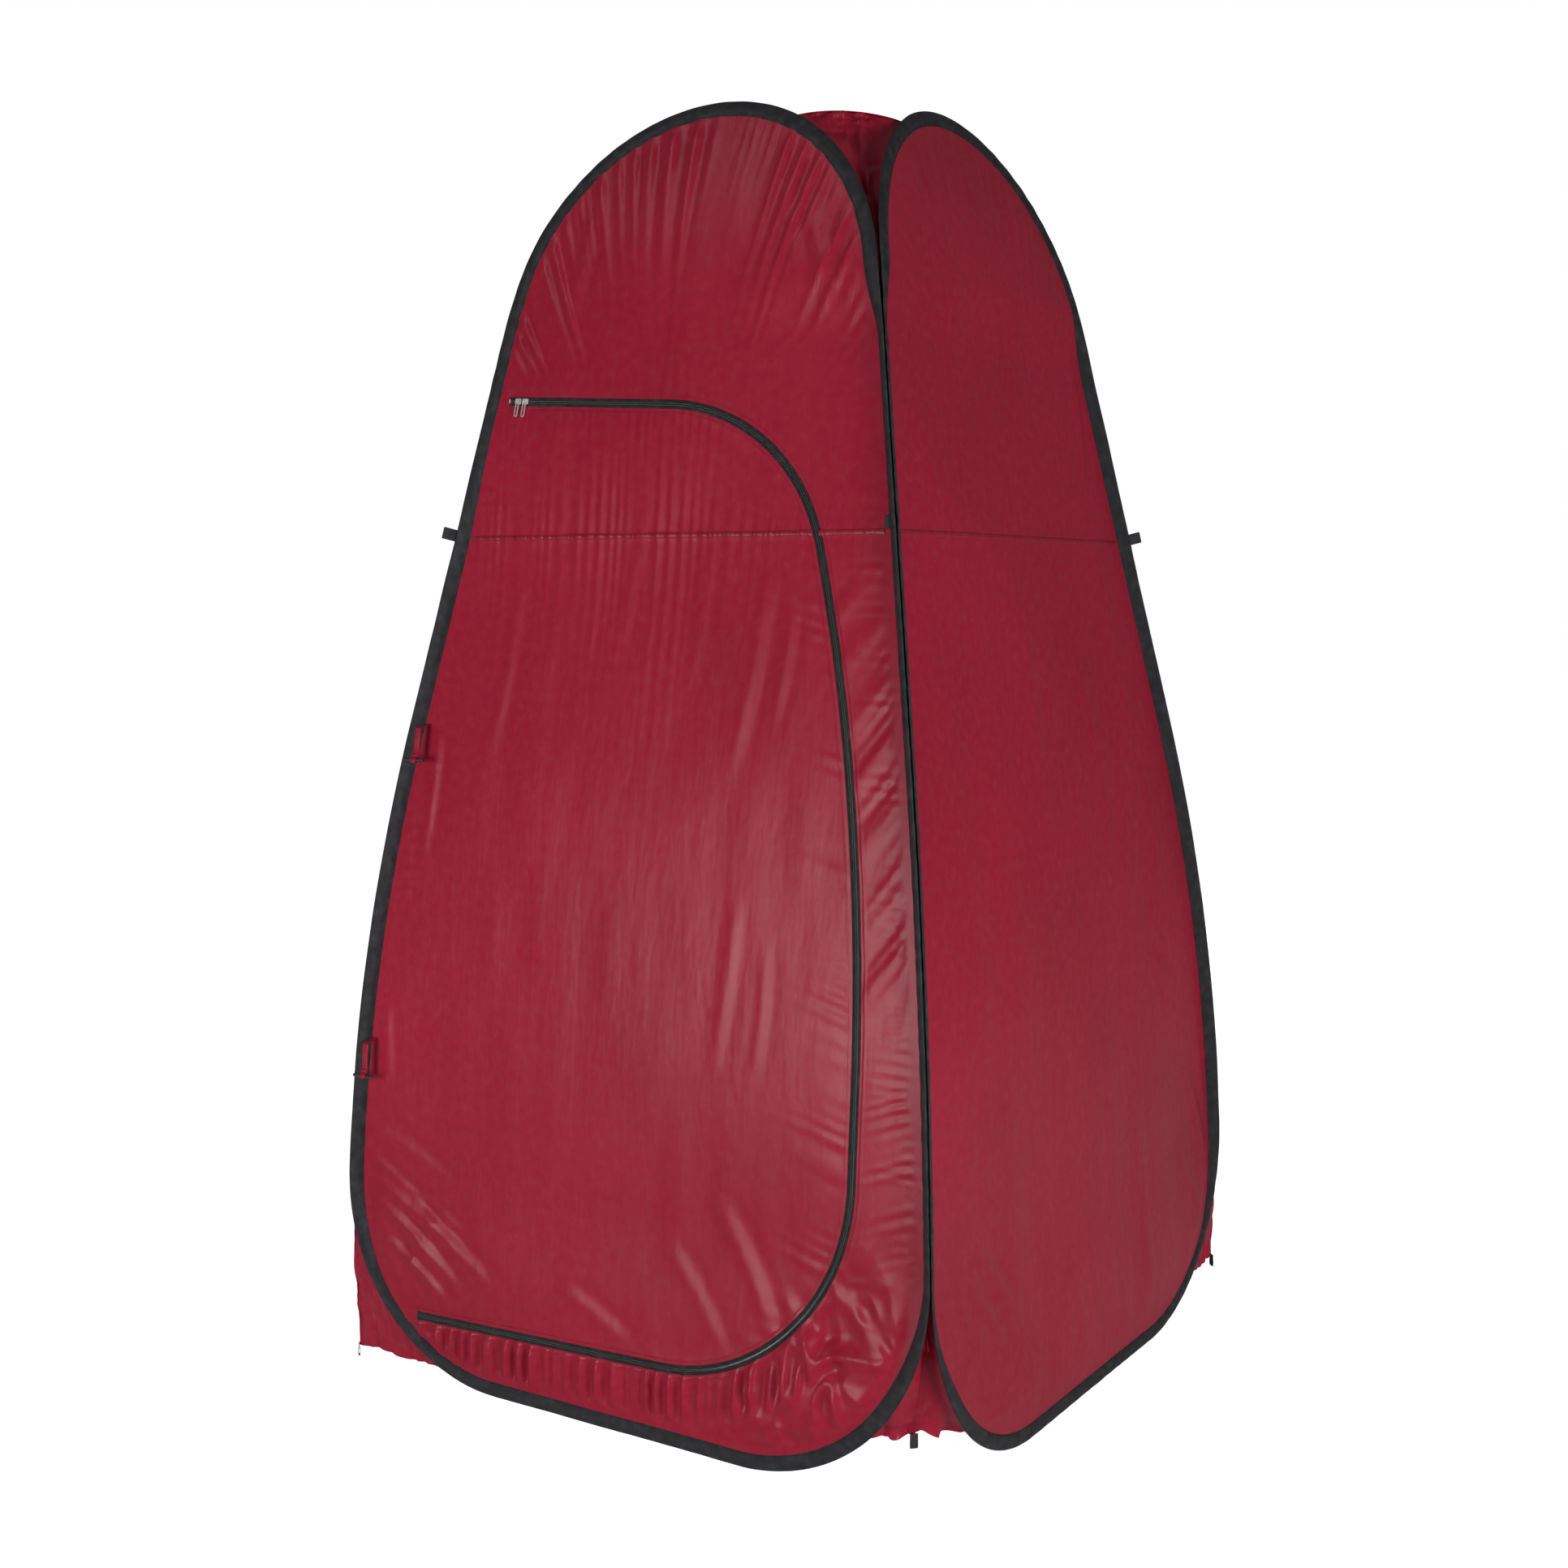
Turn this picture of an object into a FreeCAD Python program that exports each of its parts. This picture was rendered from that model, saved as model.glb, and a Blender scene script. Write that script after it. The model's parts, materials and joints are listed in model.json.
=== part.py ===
"""Pop-up privacy shower tent: four sprung loops, sleeved and skinned, joined at four corners.

Frame: origin on the ground under the middle of the tent, +Z up, front (door) face towards -Y,
right face towards +X.  Millimetres.

Each face is a sheet that bows in height only: it stands at a distance d(z) from the middle and is
straight from side to side.  The same curve d(z) is the outline of the neighbouring faces, so the
four faces meet along the corners of a square that narrows upwards.
"""
import FreeCAD, Part
import math
import os
from FreeCAD import Vector

# ---- overall sizes -------------------------------------------------------------------------
HEIGHT = 2130.0                # ground to the top of the arches
HALF_WIDTH = 582.0             # middle to a face, at its widest
BELLY_HEIGHT = 150.0           # height of the widest point
LOWER_BOW_RADIUS = 5330.0      # bow of the lower part of each face
STRAIGHT_START = 1100.0        # the bow ends and the straight taper starts
STRAIGHT_END = 1750.0          # the taper ends and the crown's bow starts
CROWN_BOW_RADIUS = 2172.0      # bow of the top part of each face
FOOT_RADIUS = 334.0            # bottom corners of each loop
SEAM_HEIGHT = 1434.0           # level seam between upper and lower walls

# ---- loops, sleeves and cloth --------------------------------------------------------------
SLEEVE_WIDTH = 25.0            # across the flattened sleeve
SLEEVE_THICKNESS = 8.0
CORNER_GAP = 0.3               # between pieces of neighbouring panels
SPRING_WIDTH = 5.0             # flat spring steel band
SPRING_THICKNESS = 1.6
SPRING_INSET = 9.0             # sleeve's outer edge to the spring band
FERRULE_LENGTH = 42.0
FERRULE_WALL = 0.8
FERRULE_POSITION = 90.0        # along the bottom run, from the middle
CLOTH = 1.2                    # stand-in thickness of the cloth

# ---- door and zip --------------------------------------------------------------------------
DOOR_TOP_BELOW_PEAK = 475.0    # zip's top run, below the arch top, at its left end
DOOR_TOP_LEFT_MARGIN = 290.0   # widest side of the tent to the hinge line's top end
DOOR_FOOT_LEFT_MARGIN = 165.0  # the same at the hinge line's bottom end
DOOR_SHOULDER_MARGIN = 354.0   # widest side to the door's top right corner
DOOR_SIDE_MARGIN = 151.0       # widest side to the door's upright edge
DOOR_SHOULDER_DROP = 33.0      # fall of the top run from hinge to shoulder
DOOR_SIDE_BREAK = 961.0        # height where the upright edge starts to lean in
DOOR_FOOT_HEIGHT = 107.0       # zip's bottom run, at the hinge
DOOR_FOOT_RISE = 30.0          # rise of the bottom run from hinge to corner
DOOR_SHOULDER_RADIUS = 330.0
DOOR_SIDE_RADIUS = 2600.0
DOOR_FOOT_RADIUS = 345.0
ZIP_WIDTH = 15.0               # both tapes and the chain
CHAIN_WIDTH = 5.6
CHAIN_PROUD = 1.6              # chain's front above the middle of the cloth
ZIP_CLEARANCE = 0.3            # between the two halves, and along the hinge line
ZIP_TAIL = 50.0                # chain past the hinge line, where the sliders park
PATCH_LENGTH = 40.0            # stitched patch over the zip's top end
STOP_LENGTH = 3.0

# ---- sliders and pulls ---------------------------------------------------------------------
SLIDER_LENGTH = 13.0
SLIDER_WIDTH = 9.6
SLIDER_PLATE = 1.3
SLIDER_PITCH = 15.0            # the two sliders stand side by side
SLIDER_PARK = 8.0              # hinge line to the nearer slider's end
RUNNING_CLEARANCE = 0.3
CROWN_WIDTH = 2.4
CROWN_WALL = 1.0
PULL_LENGTH = 27.0
PULL_WIDTH = 7.0
PULL_WIRE = 1.6

# ---- small parts ---------------------------------------------------------------------------
STRAP_WIDTH = 12.0
STRAP_LENGTH = 56.0
STRAP_THICKNESS = 1.6
STRAP_HEIGHTS = {"upper": 1106.0, "lower": 562.0}
TOGGLE_DIAMETER = 6.0
TOGGLE_LENGTH = 44.0
TOGGLE_EYE_WALL = 1.2
KEEPER_LENGTH = 45.0
KEEPER_WIDTH = 12.0
KEEPER_THICKNESS = 2.0         # both strands of the elastic
GUY_LOOP_LENGTH = 20.0
GUY_LOOP_WIDTH = 20.0
WEBBING = 2.4                  # doubled webbing
PEG_LOOP_LENGTH = 22.0
PEG_LOOP_WIDTH = 12.0
GROUND_CLEARANCE = 0.5

# ---- roof and corner cloth -----------------------------------------------------------------
ROOF_MIDDLE_DROP = 12.0        # roof's middle, below the arch tops
ROOF_SPREAD_DEG = 35.0         # half of the arch that the roof is sewn to, from its top
ROOF_SEAM_DEG = 0.8            # the roof's edge to the top gusset's, along the arch
GUSSET_FOOT_DEG = 2.0          # the top gusset stops this far above the point where arches meet
GUSSET_STEPS = 4
HEM_HEIGHT = {"front_right": 90.0, "back_right": 60.0, "back_left": 60.0, "front_left": 22.0}
HEM_RECESS = {"front_right": 60.0, "back_right": 6.0, "back_left": 6.0, "front_left": 6.0}

FACES = ["front", "right", "back", "left"]
CORNERS = ["front_right", "back_right", "back_left", "front_left"]
X_AXIS = Vector(1, 0, 0)
Z_AXIS = Vector(0, 0, 1)
CENTRE = Vector(0, 0, 0)
REACH = HALF_WIDTH + 100.0     # beyond every solid, for cutting tools
MARGIN = 10.0                  # past the ends of a profile

HALF_SLEEVE = SLEEVE_THICKNESS / 2
HALF_CLOTH = CLOTH / 2
EDGE_INSET = HALF_SLEEVE + CORNER_GAP
WALL_INSET = EDGE_INSET + SLEEVE_WIDTH
TAPER = math.asin((STRAIGHT_START - BELLY_HEIGHT) / LOWER_BOW_RADIUS)


# ---- the face's curve ----------------------------------------------------------------------
LOWER_CENTRE = (HALF_WIDTH - LOWER_BOW_RADIUS, BELLY_HEIGHT)
TAPER_LOW = (LOWER_CENTRE[0] + LOWER_BOW_RADIUS * math.cos(TAPER), STRAIGHT_START)
TAPER_HIGH = (TAPER_LOW[0] - (STRAIGHT_END - STRAIGHT_START) * math.tan(TAPER), STRAIGHT_END)
CROWN_CENTRE = (TAPER_HIGH[0] - CROWN_BOW_RADIUS * math.cos(TAPER),
                TAPER_HIGH[1] - CROWN_BOW_RADIUS * math.sin(TAPER))


def face_distance(z):
    """d(z): circle of the lower bow, then a straight taper, then the circle of the crown."""
    if z <= STRAIGHT_START:
        rise = z - LOWER_CENTRE[1]
        return LOWER_CENTRE[0] + math.sqrt(LOWER_BOW_RADIUS ** 2 - rise ** 2)
    if z <= STRAIGHT_END:
        return TAPER_LOW[0] - (z - STRAIGHT_START) * math.tan(TAPER)
    rise = z - CROWN_CENTRE[1]
    return CROWN_CENTRE[0] + math.sqrt(CROWN_BOW_RADIUS ** 2 - rise ** 2)


def face_lean(z):
    """Angle of the face's outward normal above the horizontal."""
    if z <= STRAIGHT_START:
        return math.asin((z - LOWER_CENTRE[1]) / LOWER_BOW_RADIUS)
    if z <= STRAIGHT_END:
        return TAPER
    return math.asin((z - CROWN_CENTRE[1]) / CROWN_BOW_RADIUS)


def polar(centre, radius, angle):
    return (centre[0] + radius * math.cos(angle), centre[1] + radius * math.sin(angle))


def arc_edge(place, centre, radius, start, end):
    """Arc from start to end (radians); place turns a flat (a, b) point into a space point."""
    points = [place(polar(centre, radius, a)) for a in (start, (start + end) / 2, end)]
    return Part.Arc(*points).toShape()


def line_edge(place, a, b):
    return Part.LineSegment(place(a), place(b)).toShape()


def profile_edges(place, offset, start, end):
    """The curve d(z), moved outwards by offset, between two normal angles."""
    edges = []
    if start < TAPER:
        edges.append(arc_edge(place, LOWER_CENTRE, LOWER_BOW_RADIUS + offset, start, TAPER))
    low = polar(LOWER_CENTRE, LOWER_BOW_RADIUS + offset, TAPER)
    high = polar(CROWN_CENTRE, CROWN_BOW_RADIUS + offset, TAPER)
    edges.append(line_edge(place, low, high))
    edges.append(arc_edge(place, CROWN_CENTRE, CROWN_BOW_RADIUS + offset, TAPER, end))
    return edges


def slab(inner, outer):
    """Everything between two distances from the front face's middle surface, outwards positive."""
    def place(point):
        return Vector(-REACH, -point[0], point[1])
    start = face_lean(-MARGIN)
    end = face_lean(HEIGHT + MARGIN)
    outside = profile_edges(place, outer, start, end)
    inside = profile_edges(place, inner, start, end)
    cap_low = Part.LineSegment(inside[0].Vertexes[0].Point, outside[0].Vertexes[0].Point).toShape()
    cap_high = Part.LineSegment(inside[-1].Vertexes[-1].Point, outside[-1].Vertexes[-1].Point).toShape()
    wire = Part.Wire(Part.__sortEdges__(outside + [cap_high] + inside + [cap_low]))
    return Part.Face(wire).extrude(Vector(2 * REACH, 0, 0))


# ---- the loop's outline --------------------------------------------------------------------
def flat_front(point):
    return Vector(point[0], 0, point[1])


def side_curve():
    return Part.Wire(profile_edges(flat_front, 0, face_lean(-MARGIN), face_lean(HEIGHT + MARGIN)))


def tangent_fit(centre_of, radius_of, low, high):
    """Halve the interval until a circle just touches the side curve."""
    curve = side_curve()
    for _ in range(45):
        middle = (low + high) / 2
        gap = Part.Vertex(flat_front(centre_of(middle))).distToShape(curve)[0] - radius_of(middle)
        if gap > 0:
            low = middle
        else:
            high = middle
    touch = Part.Vertex(flat_front(centre_of(low))).distToShape(curve)[1][0][1]
    return low, (touch.x, touch.z)


TOP = HEIGHT + EDGE_INSET      # the outline's inset edges then lie on HEIGHT and on the ground
FOOT_CENTRE_Z = FOOT_RADIUS - EDGE_INSET
ARCH_RADIUS, ARCH_TOUCH = tangent_fit(lambda r: (0, TOP - r), lambda r: r, 50.0, HEIGHT / 2)
FOOT_CENTRE_X, FOOT_TOUCH = tangent_fit(lambda x: (x, FOOT_CENTRE_Z), lambda x: FOOT_RADIUS,
                                        0.0, HALF_WIDTH)
ARCH_CENTRE = (0.0, TOP - ARCH_RADIUS)
FOOT_CENTRE = (FOOT_CENTRE_X, FOOT_CENTRE_Z)
ARCH_ANGLE = math.atan2(ARCH_TOUCH[1] - ARCH_CENTRE[1], ARCH_TOUCH[0])
FOOT_ANGLE = math.atan2(FOOT_TOUCH[1] - FOOT_CENTRE[1], FOOT_TOUCH[0] - FOOT_CENTRE[0])


def half_outline(inset, side):
    """One side of the loop's outline from the ground's middle to the arch top."""
    def place(point):
        return Vector(side * point[0], 0, point[1])
    ground = inset - EDGE_INSET
    edges = [line_edge(place, (0, ground), (FOOT_CENTRE[0], ground)),
             arc_edge(place, FOOT_CENTRE, FOOT_RADIUS - inset, -math.pi / 2, FOOT_ANGLE)]
    if FOOT_TOUCH[1] < STRAIGHT_START:
        edges.append(arc_edge(place, LOWER_CENTRE, LOWER_BOW_RADIUS - inset, FOOT_ANGLE, TAPER))
    taper_end = polar(CROWN_CENTRE, CROWN_BOW_RADIUS - inset, TAPER)
    arch_start = polar(ARCH_CENTRE, ARCH_RADIUS - inset, ARCH_ANGLE)
    if ARCH_TOUCH[1] < STRAIGHT_END:
        taper_end = arch_start
    edges.append(line_edge(place, polar(LOWER_CENTRE, LOWER_BOW_RADIUS - inset, TAPER), taper_end))
    if ARCH_TOUCH[1] > STRAIGHT_END:
        edges.append(arc_edge(place, CROWN_CENTRE, CROWN_BOW_RADIUS - inset, TAPER, ARCH_ANGLE))
    edges.append(arc_edge(place, ARCH_CENTRE, ARCH_RADIUS - inset, ARCH_ANGLE, math.pi / 2))
    return edges


def prism(wire):
    """A block of the wire's outline that reaches from the middle out past the front face."""
    return Part.Face(wire).extrude(Vector(0, -REACH, 0))


def loop_prism(inset):
    return prism(Part.Wire(Part.__sortEdges__(half_outline(inset, 1) + half_outline(inset, -1))))


def loop_ring(inset, width):
    return loop_prism(inset).cut(loop_prism(inset + width))


def band(low, high):
    """A level block between two heights."""
    block = Part.makeBox(2 * REACH, 2 * REACH, high - low)
    block.translate(Vector(-REACH, -REACH, low))
    return block


def turned(shape, quarter_turns):
    copy = shape.copy()
    copy.rotate(CENTRE, Z_AXIS, 90 * quarter_turns)
    return copy


def loop_half_width(z, inset):
    """Half width of the loop's outline at a height inside its foot."""
    radius = FOOT_RADIUS - inset
    return FOOT_CENTRE[0] + math.sqrt(max(radius ** 2 - (z - FOOT_CENTRE[1]) ** 2, 0))


# ---- the door's outline --------------------------------------------------------------------
DOOR_TOP = HEIGHT - DOOR_TOP_BELOW_PEAK
DOOR_CORNERS = [
    (-(HALF_WIDTH - DOOR_TOP_LEFT_MARGIN), DOOR_TOP),
    (HALF_WIDTH - DOOR_SHOULDER_MARGIN, DOOR_TOP - DOOR_SHOULDER_DROP),
    (HALF_WIDTH - DOOR_SIDE_MARGIN, DOOR_SIDE_BREAK),
    (HALF_WIDTH - DOOR_SIDE_MARGIN, DOOR_FOOT_HEIGHT + DOOR_FOOT_RISE),
    (-(HALF_WIDTH - DOOR_FOOT_LEFT_MARGIN), DOOR_FOOT_HEIGHT)]
DOOR_RADII = [0, DOOR_SHOULDER_RADIUS, DOOR_SIDE_RADIUS, DOOR_FOOT_RADIUS, 0]


def unit(a, b):
    length = math.hypot(b[0] - a[0], b[1] - a[1])
    return ((b[0] - a[0]) / length, (b[1] - a[1]) / length)


def crossing(p, u, q, v):
    """Where the line through p along u meets the line through q along v."""
    t = ((q[0] - p[0]) * v[1] - (q[1] - p[1]) * v[0]) / (u[0] * v[1] - u[1] * v[0])
    return (p[0] + t * u[0], p[1] + t * u[1])


def door_corners(offset, hinge_offset):
    """The door's corners with its zipped sides and its hinge side moved outwards."""
    count = len(DOOR_CORNERS)
    lines = []
    for i in range(count):
        a, b = DOOR_CORNERS[i], DOOR_CORNERS[(i + 1) % count]
        u = unit(a, b)
        move = hinge_offset if i == count - 1 else offset
        lines.append(((a[0] - u[1] * move, a[1] + u[0] * move), u))
    return [crossing(*lines[i - 1], *lines[i]) for i in range(count)]


def door_prism(offset, hinge_offset):
    """A block of the door's outline: straight sides with rounded corners."""
    corners = door_corners(offset, hinge_offset)
    count = len(corners)
    edges = []
    ends = []
    for i in range(count):
        before, here, after = corners[i - 1], corners[i], corners[(i + 1) % count]
        u, v = unit(here, before), unit(here, after)
        half = math.acos(u[0] * v[0] + u[1] * v[1]) / 2
        radius = DOOR_RADII[i] + offset if DOOR_RADII[i] else 0
        reach = radius / math.tan(half)
        start = (here[0] + u[0] * reach, here[1] + u[1] * reach)
        end = (here[0] + v[0] * reach, here[1] + v[1] * reach)
        ends.append((start, end))
        if radius:
            middle = unit((0, 0), (u[0] + v[0], u[1] + v[1]))
            depth = radius / math.sin(half) - radius
            top = (here[0] + middle[0] * depth, here[1] + middle[1] * depth)
            edges.append(Part.Arc(flat_front(start), flat_front(top), flat_front(end)).toShape())
    for i in range(count):
        edges.append(line_edge(flat_front, ends[i - 1][1], ends[i][0]))
    return prism(Part.Wire(Part.__sortEdges__(edges)))


def tail_prism(low, high, length):
    """A strip along the zip's top run, past the hinge line, between two distances across it."""
    a, b = DOOR_CORNERS[0], DOOR_CORNERS[1]
    u = unit(a, b)
    points = []
    for along, across in ((-CHAIN_WIDTH, low), (length, low), (length, high), (-CHAIN_WIDTH, high)):
        points.append(flat_front((a[0] - u[0] * along - u[1] * across,
                                  a[1] - u[1] * along + u[0] * across)))
    return prism(Part.makePolygon(points + points[:1]))


# ---- placing small parts -------------------------------------------------------------------
def on_face(x, z, along=None):
    """Placement whose X is along the face, Z is outwards and Y is up the face, at (x, z)."""
    lean = face_lean(z)
    outward = Vector(0, -math.cos(lean), math.sin(lean))
    run = along if along else X_AXIS
    up = outward.cross(run)
    matrix = FreeCAD.Matrix(run.x, up.x, outward.x, x,
                            run.y, up.y, outward.y, -face_distance(z),
                            run.z, up.z, outward.z, z,
                            0, 0, 0, 1)
    return FreeCAD.Placement(matrix)


def placed(shape, placement):
    return shape.transformGeometry(placement.toMatrix())


def block(x, y, z):
    """Box from three (low, high) pairs."""
    box = Part.makeBox(x[1] - x[0], y[1] - y[0], z[1] - z[0])
    box.translate(Vector(x[0], y[0], z[0]))
    return box


def zip_direction():
    """Direction of the zip's top run on the tapering part of the front face."""
    a, b = DOOR_CORNERS[0], DOOR_CORNERS[1]
    rise = b[1] - a[1]
    direction = Vector(b[0] - a[0], -(face_distance(b[1]) - face_distance(a[1])), rise)
    return direction.normalize()


def zip_point(before_hinge):
    """Point of the zip's top run, this far to the left of the hinge line's top end."""
    a, b = DOOR_CORNERS[0], DOOR_CORNERS[1]
    u = unit(a, b)
    return (a[0] - u[0] * before_hinge, a[1] - u[1] * before_hinge)


SLIDER_TOP = CHAIN_PROUD + RUNNING_CLEARANCE + SLIDER_PLATE
PIVOT_RISE = SLIDER_TOP + RUNNING_CLEARANCE + PULL_WIRE / 2


def slider():
    """Plate over the chain with a flange at each side, and a crown that holds the pull."""
    half = SLIDER_LENGTH / 2
    low = HALF_CLOTH + RUNNING_CLEARANCE
    body = block((-half, half), (-SLIDER_WIDTH / 2, SLIDER_WIDTH / 2), (low, SLIDER_TOP))
    chain_skew = CHAIN_PROUD * math.tan(TAPER)     # the chain's sides are level, the slider leans
    channel = CHAIN_WIDTH / 2 + chain_skew + RUNNING_CLEARANCE
    body = body.cut(block((-REACH, REACH), (-channel, channel), (0, CHAIN_PROUD + RUNNING_CLEARANCE)))
    uprights = [e for e in body.Edges if abs(e.tangentAt(e.FirstParameter).z) > 0.99
                and abs(abs(e.CenterOfMass.x) - half) < 0.1
                and abs(abs(e.CenterOfMass.y) - SLIDER_WIDTH / 2) < 0.1]
    body = body.makeFillet(SLIDER_WIDTH / 5, uprights)
    window = PULL_WIRE / 2 + RUNNING_CLEARANCE
    outer = Part.makeCylinder(window + CROWN_WALL, CROWN_WIDTH, Vector(-CROWN_WIDTH / 2, 0, PIVOT_RISE),
                              X_AXIS)
    feet = block((-CROWN_WIDTH / 2, CROWN_WIDTH / 2), (-window - CROWN_WALL, window + CROWN_WALL),
                 (SLIDER_TOP - SLIDER_PLATE / 2, PIVOT_RISE))
    hole = Part.makeCylinder(window, 2 * CROWN_WIDTH, Vector(-CROWN_WIDTH, 0, PIVOT_RISE), X_AXIS)
    return body.fuse(outer).fuse(feet).cut(hole).removeSplitter()


def stadium(length, width, thickness):
    """Rounded bar that hangs down -Y from a bar centred on X, thickness about Z = 0."""
    radius = width / 2
    plate = block((-radius, radius), (-length + radius, 0), (-thickness / 2, thickness / 2))
    end = Part.makeCylinder(radius, thickness, Vector(0, -length + radius, -thickness / 2), Z_AXIS)
    return plate.fuse(end)


def pull():
    """Looped wire pull: a round top bar in the crown and a long loop that hangs from it."""
    wire = PULL_WIRE
    outer = stadium(PULL_LENGTH, PULL_WIDTH, wire)
    inner = stadium(PULL_LENGTH - wire, PULL_WIDTH - 2 * wire, 2 * wire)
    gap = block((-PULL_WIDTH, PULL_WIDTH), (-wire / 2, wire), (-wire, wire))
    bar = Part.makeCylinder(wire / 2, PULL_WIDTH, Vector(-PULL_WIDTH / 2, 0, 0), X_AXIS)
    loop = outer.cut(inner).cut(gap)
    legs = []
    for side in (-1, 1):
        low = PULL_WIDTH / 2 - wire
        edge = sorted((side * low, side * PULL_WIDTH / 2))
        legs.append(block(edge, (-wire, 0), (-wire / 2, wire / 2)))
    shape = loop.fuse(bar).fuse(legs[0]).fuse(legs[1]).removeSplitter()
    shape.translate(Vector(0, 0, PIVOT_RISE))
    return shape


# ---- straps, toggles and webbing -----------------------------------------------------------
TOGGLE_RADIUS = TOGGLE_DIAMETER / 2
STRAP_BACK = HALF_SLEEVE + RUNNING_CLEARANCE


def strap():
    """Strap with a sewn eye at its lower end; origin at its sewn top on the face."""
    eye_radius = TOGGLE_RADIUS + TOGGLE_EYE_WALL
    eye_middle = Vector(-STRAP_WIDTH / 2, -STRAP_LENGTH, STRAP_BACK + eye_radius)
    plate = block((-STRAP_WIDTH / 2, STRAP_WIDTH / 2), (-STRAP_LENGTH, 0),
                  (STRAP_BACK, STRAP_BACK + STRAP_THICKNESS))
    eye = Part.makeCylinder(eye_radius, STRAP_WIDTH, eye_middle, X_AXIS)
    bore = Part.makeCylinder(TOGGLE_RADIUS, STRAP_WIDTH, eye_middle, X_AXIS)
    return plate.fuse(eye).cut(bore).removeSplitter()


def toggle():
    """Round bar with rounded ends, held in the strap's eye."""
    start = Vector(-TOGGLE_LENGTH / 2, -STRAP_LENGTH, STRAP_BACK + TOGGLE_RADIUS + TOGGLE_EYE_WALL)
    bar = Part.makeCylinder(TOGGLE_RADIUS, TOGGLE_LENGTH, start, X_AXIS)
    ends = [e for e in bar.Edges if e.Closed]
    return bar.makeFillet(TOGGLE_RADIUS / 2, ends)


def keeper():
    """Elastic loop inside the wall that a toggle is pushed through; it lies closed at rest."""
    behind = -HALF_SLEEVE - RUNNING_CLEARANCE
    return block((-KEEPER_WIDTH / 2, KEEPER_WIDTH / 2), (-KEEPER_LENGTH, 0),
                 (behind - KEEPER_THICKNESS, behind))


def corner_place(z, out):
    """Placement at the front right corner: X outwards on the diagonal, Z up the corner."""
    lean = face_lean(z)
    up = Vector(-math.sin(lean), math.sin(lean), math.cos(lean)).normalize()
    outward = Vector(1, -1, 0).normalize()
    outward = (outward - up * outward.dot(up)).normalize()
    side = up.cross(outward)
    at = face_distance(z)
    matrix = FreeCAD.Matrix(outward.x, side.x, up.x, at + out * outward.x,
                            outward.y, side.y, up.y, -at + out * outward.y,
                            outward.z, side.z, up.z, z,
                            0, 0, 0, 1)
    return FreeCAD.Placement(matrix)


# ---- the parts -----------------------------------------------------------------------------
def sleeve_zone(gap):
    """The front sleeve's own space, grown by a gap on its flat sides."""
    return slab(-HALF_SLEEVE - gap, HALF_SLEEVE + gap).common(loop_ring(EDGE_INSET, SLEEVE_WIDTH))


def loop_parts(name, turns):
    """Spring band, ferrule and sleeve of one face."""
    spring_inset = EDGE_INSET + SPRING_INSET
    half_spring = SPRING_THICKNESS / 2
    spring = slab(-half_spring, half_spring).common(loop_ring(spring_inset, SPRING_WIDTH))
    low = FERRULE_POSITION - FERRULE_LENGTH / 2
    stretch = block((low, low + FERRULE_LENGTH), (-REACH, 0), (0, FOOT_RADIUS))
    wall = half_spring + FERRULE_WALL
    tube = slab(-wall, wall).common(loop_ring(spring_inset - FERRULE_WALL,
                                              SPRING_WIDTH + 2 * FERRULE_WALL))
    tube = tube.common(stretch)
    sleeve = sleeve_zone(0).cut(spring).cut(tube)
    return {name + "_spring": turned(spring, turns),
            name + "_ferrule": turned(tube.cut(spring), turns),
            name + "_sleeve": turned(sleeve, turns)}


def wall_parts(name, turns):
    """Upper and lower cloth of one plain face."""
    sheet = slab(-HALF_CLOTH, HALF_CLOTH).common(loop_prism(WALL_INSET))
    return {name + "_wall_lower": turned(sheet.common(band(0, SEAM_HEIGHT)), turns),
            name + "_wall_upper": turned(sheet.common(band(SEAM_HEIGHT, HEIGHT)), turns)}


def front_parts():
    """Front cloth with the door's opening, the door, and the two halves of the zip."""
    half_zip = ZIP_WIDTH / 2
    half_chain = CHAIN_WIDTH / 2
    half_gap = ZIP_CLEARANCE / 2
    cloth = slab(-HALF_CLOTH, HALF_CLOTH)
    chain = slab(-HALF_CLOTH, CHAIN_PROUD)
    opening = door_prism(half_zip, half_gap)
    sheet = cloth.common(loop_prism(WALL_INSET)).cut(opening)
    sheet = sheet.cut(tail_prism(-half_zip, half_zip, ZIP_TAIL))
    parts = {"front_wall_lower": sheet.common(band(0, SEAM_HEIGHT)),
             "front_wall_upper": sheet.common(band(SEAM_HEIGHT, HEIGHT))}
    tape = opening.cut(door_prism(half_chain, half_gap))
    tape = tape.fuse(tail_prism(half_chain, half_zip, ZIP_TAIL))
    tape = tape.fuse(tail_prism(-half_zip, -half_chain, ZIP_TAIL).cut(opening))
    parts["zip_tape_frame"] = cloth.common(tape)
    chain_end = ZIP_TAIL - STOP_LENGTH
    chain_run = door_prism(half_chain, half_gap).cut(door_prism(half_gap, half_gap))
    chain_run = chain_run.fuse(tail_prism(half_gap, half_chain, chain_end))
    chain_run = chain_run.fuse(tail_prism(-half_chain, -half_gap, chain_end).cut(opening))
    parts["zip_chain_frame"] = chain.common(chain_run)
    door_tape = door_prism(-half_chain, -half_gap).cut(door_prism(-half_zip, -half_gap))
    door_chain = door_prism(-half_gap, -half_gap).cut(door_prism(-half_chain, -half_gap))
    parts["zip_tape_door"] = cloth.common(door_tape)
    parts["zip_chain_door"] = chain.common(door_chain)
    leaf = cloth.common(door_prism(-half_zip, -half_gap))
    parts["door_lower"] = leaf.common(band(0, SEAM_HEIGHT))
    parts["door_upper"] = leaf.common(band(SEAM_HEIGHT, HEIGHT))
    return parts


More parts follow.
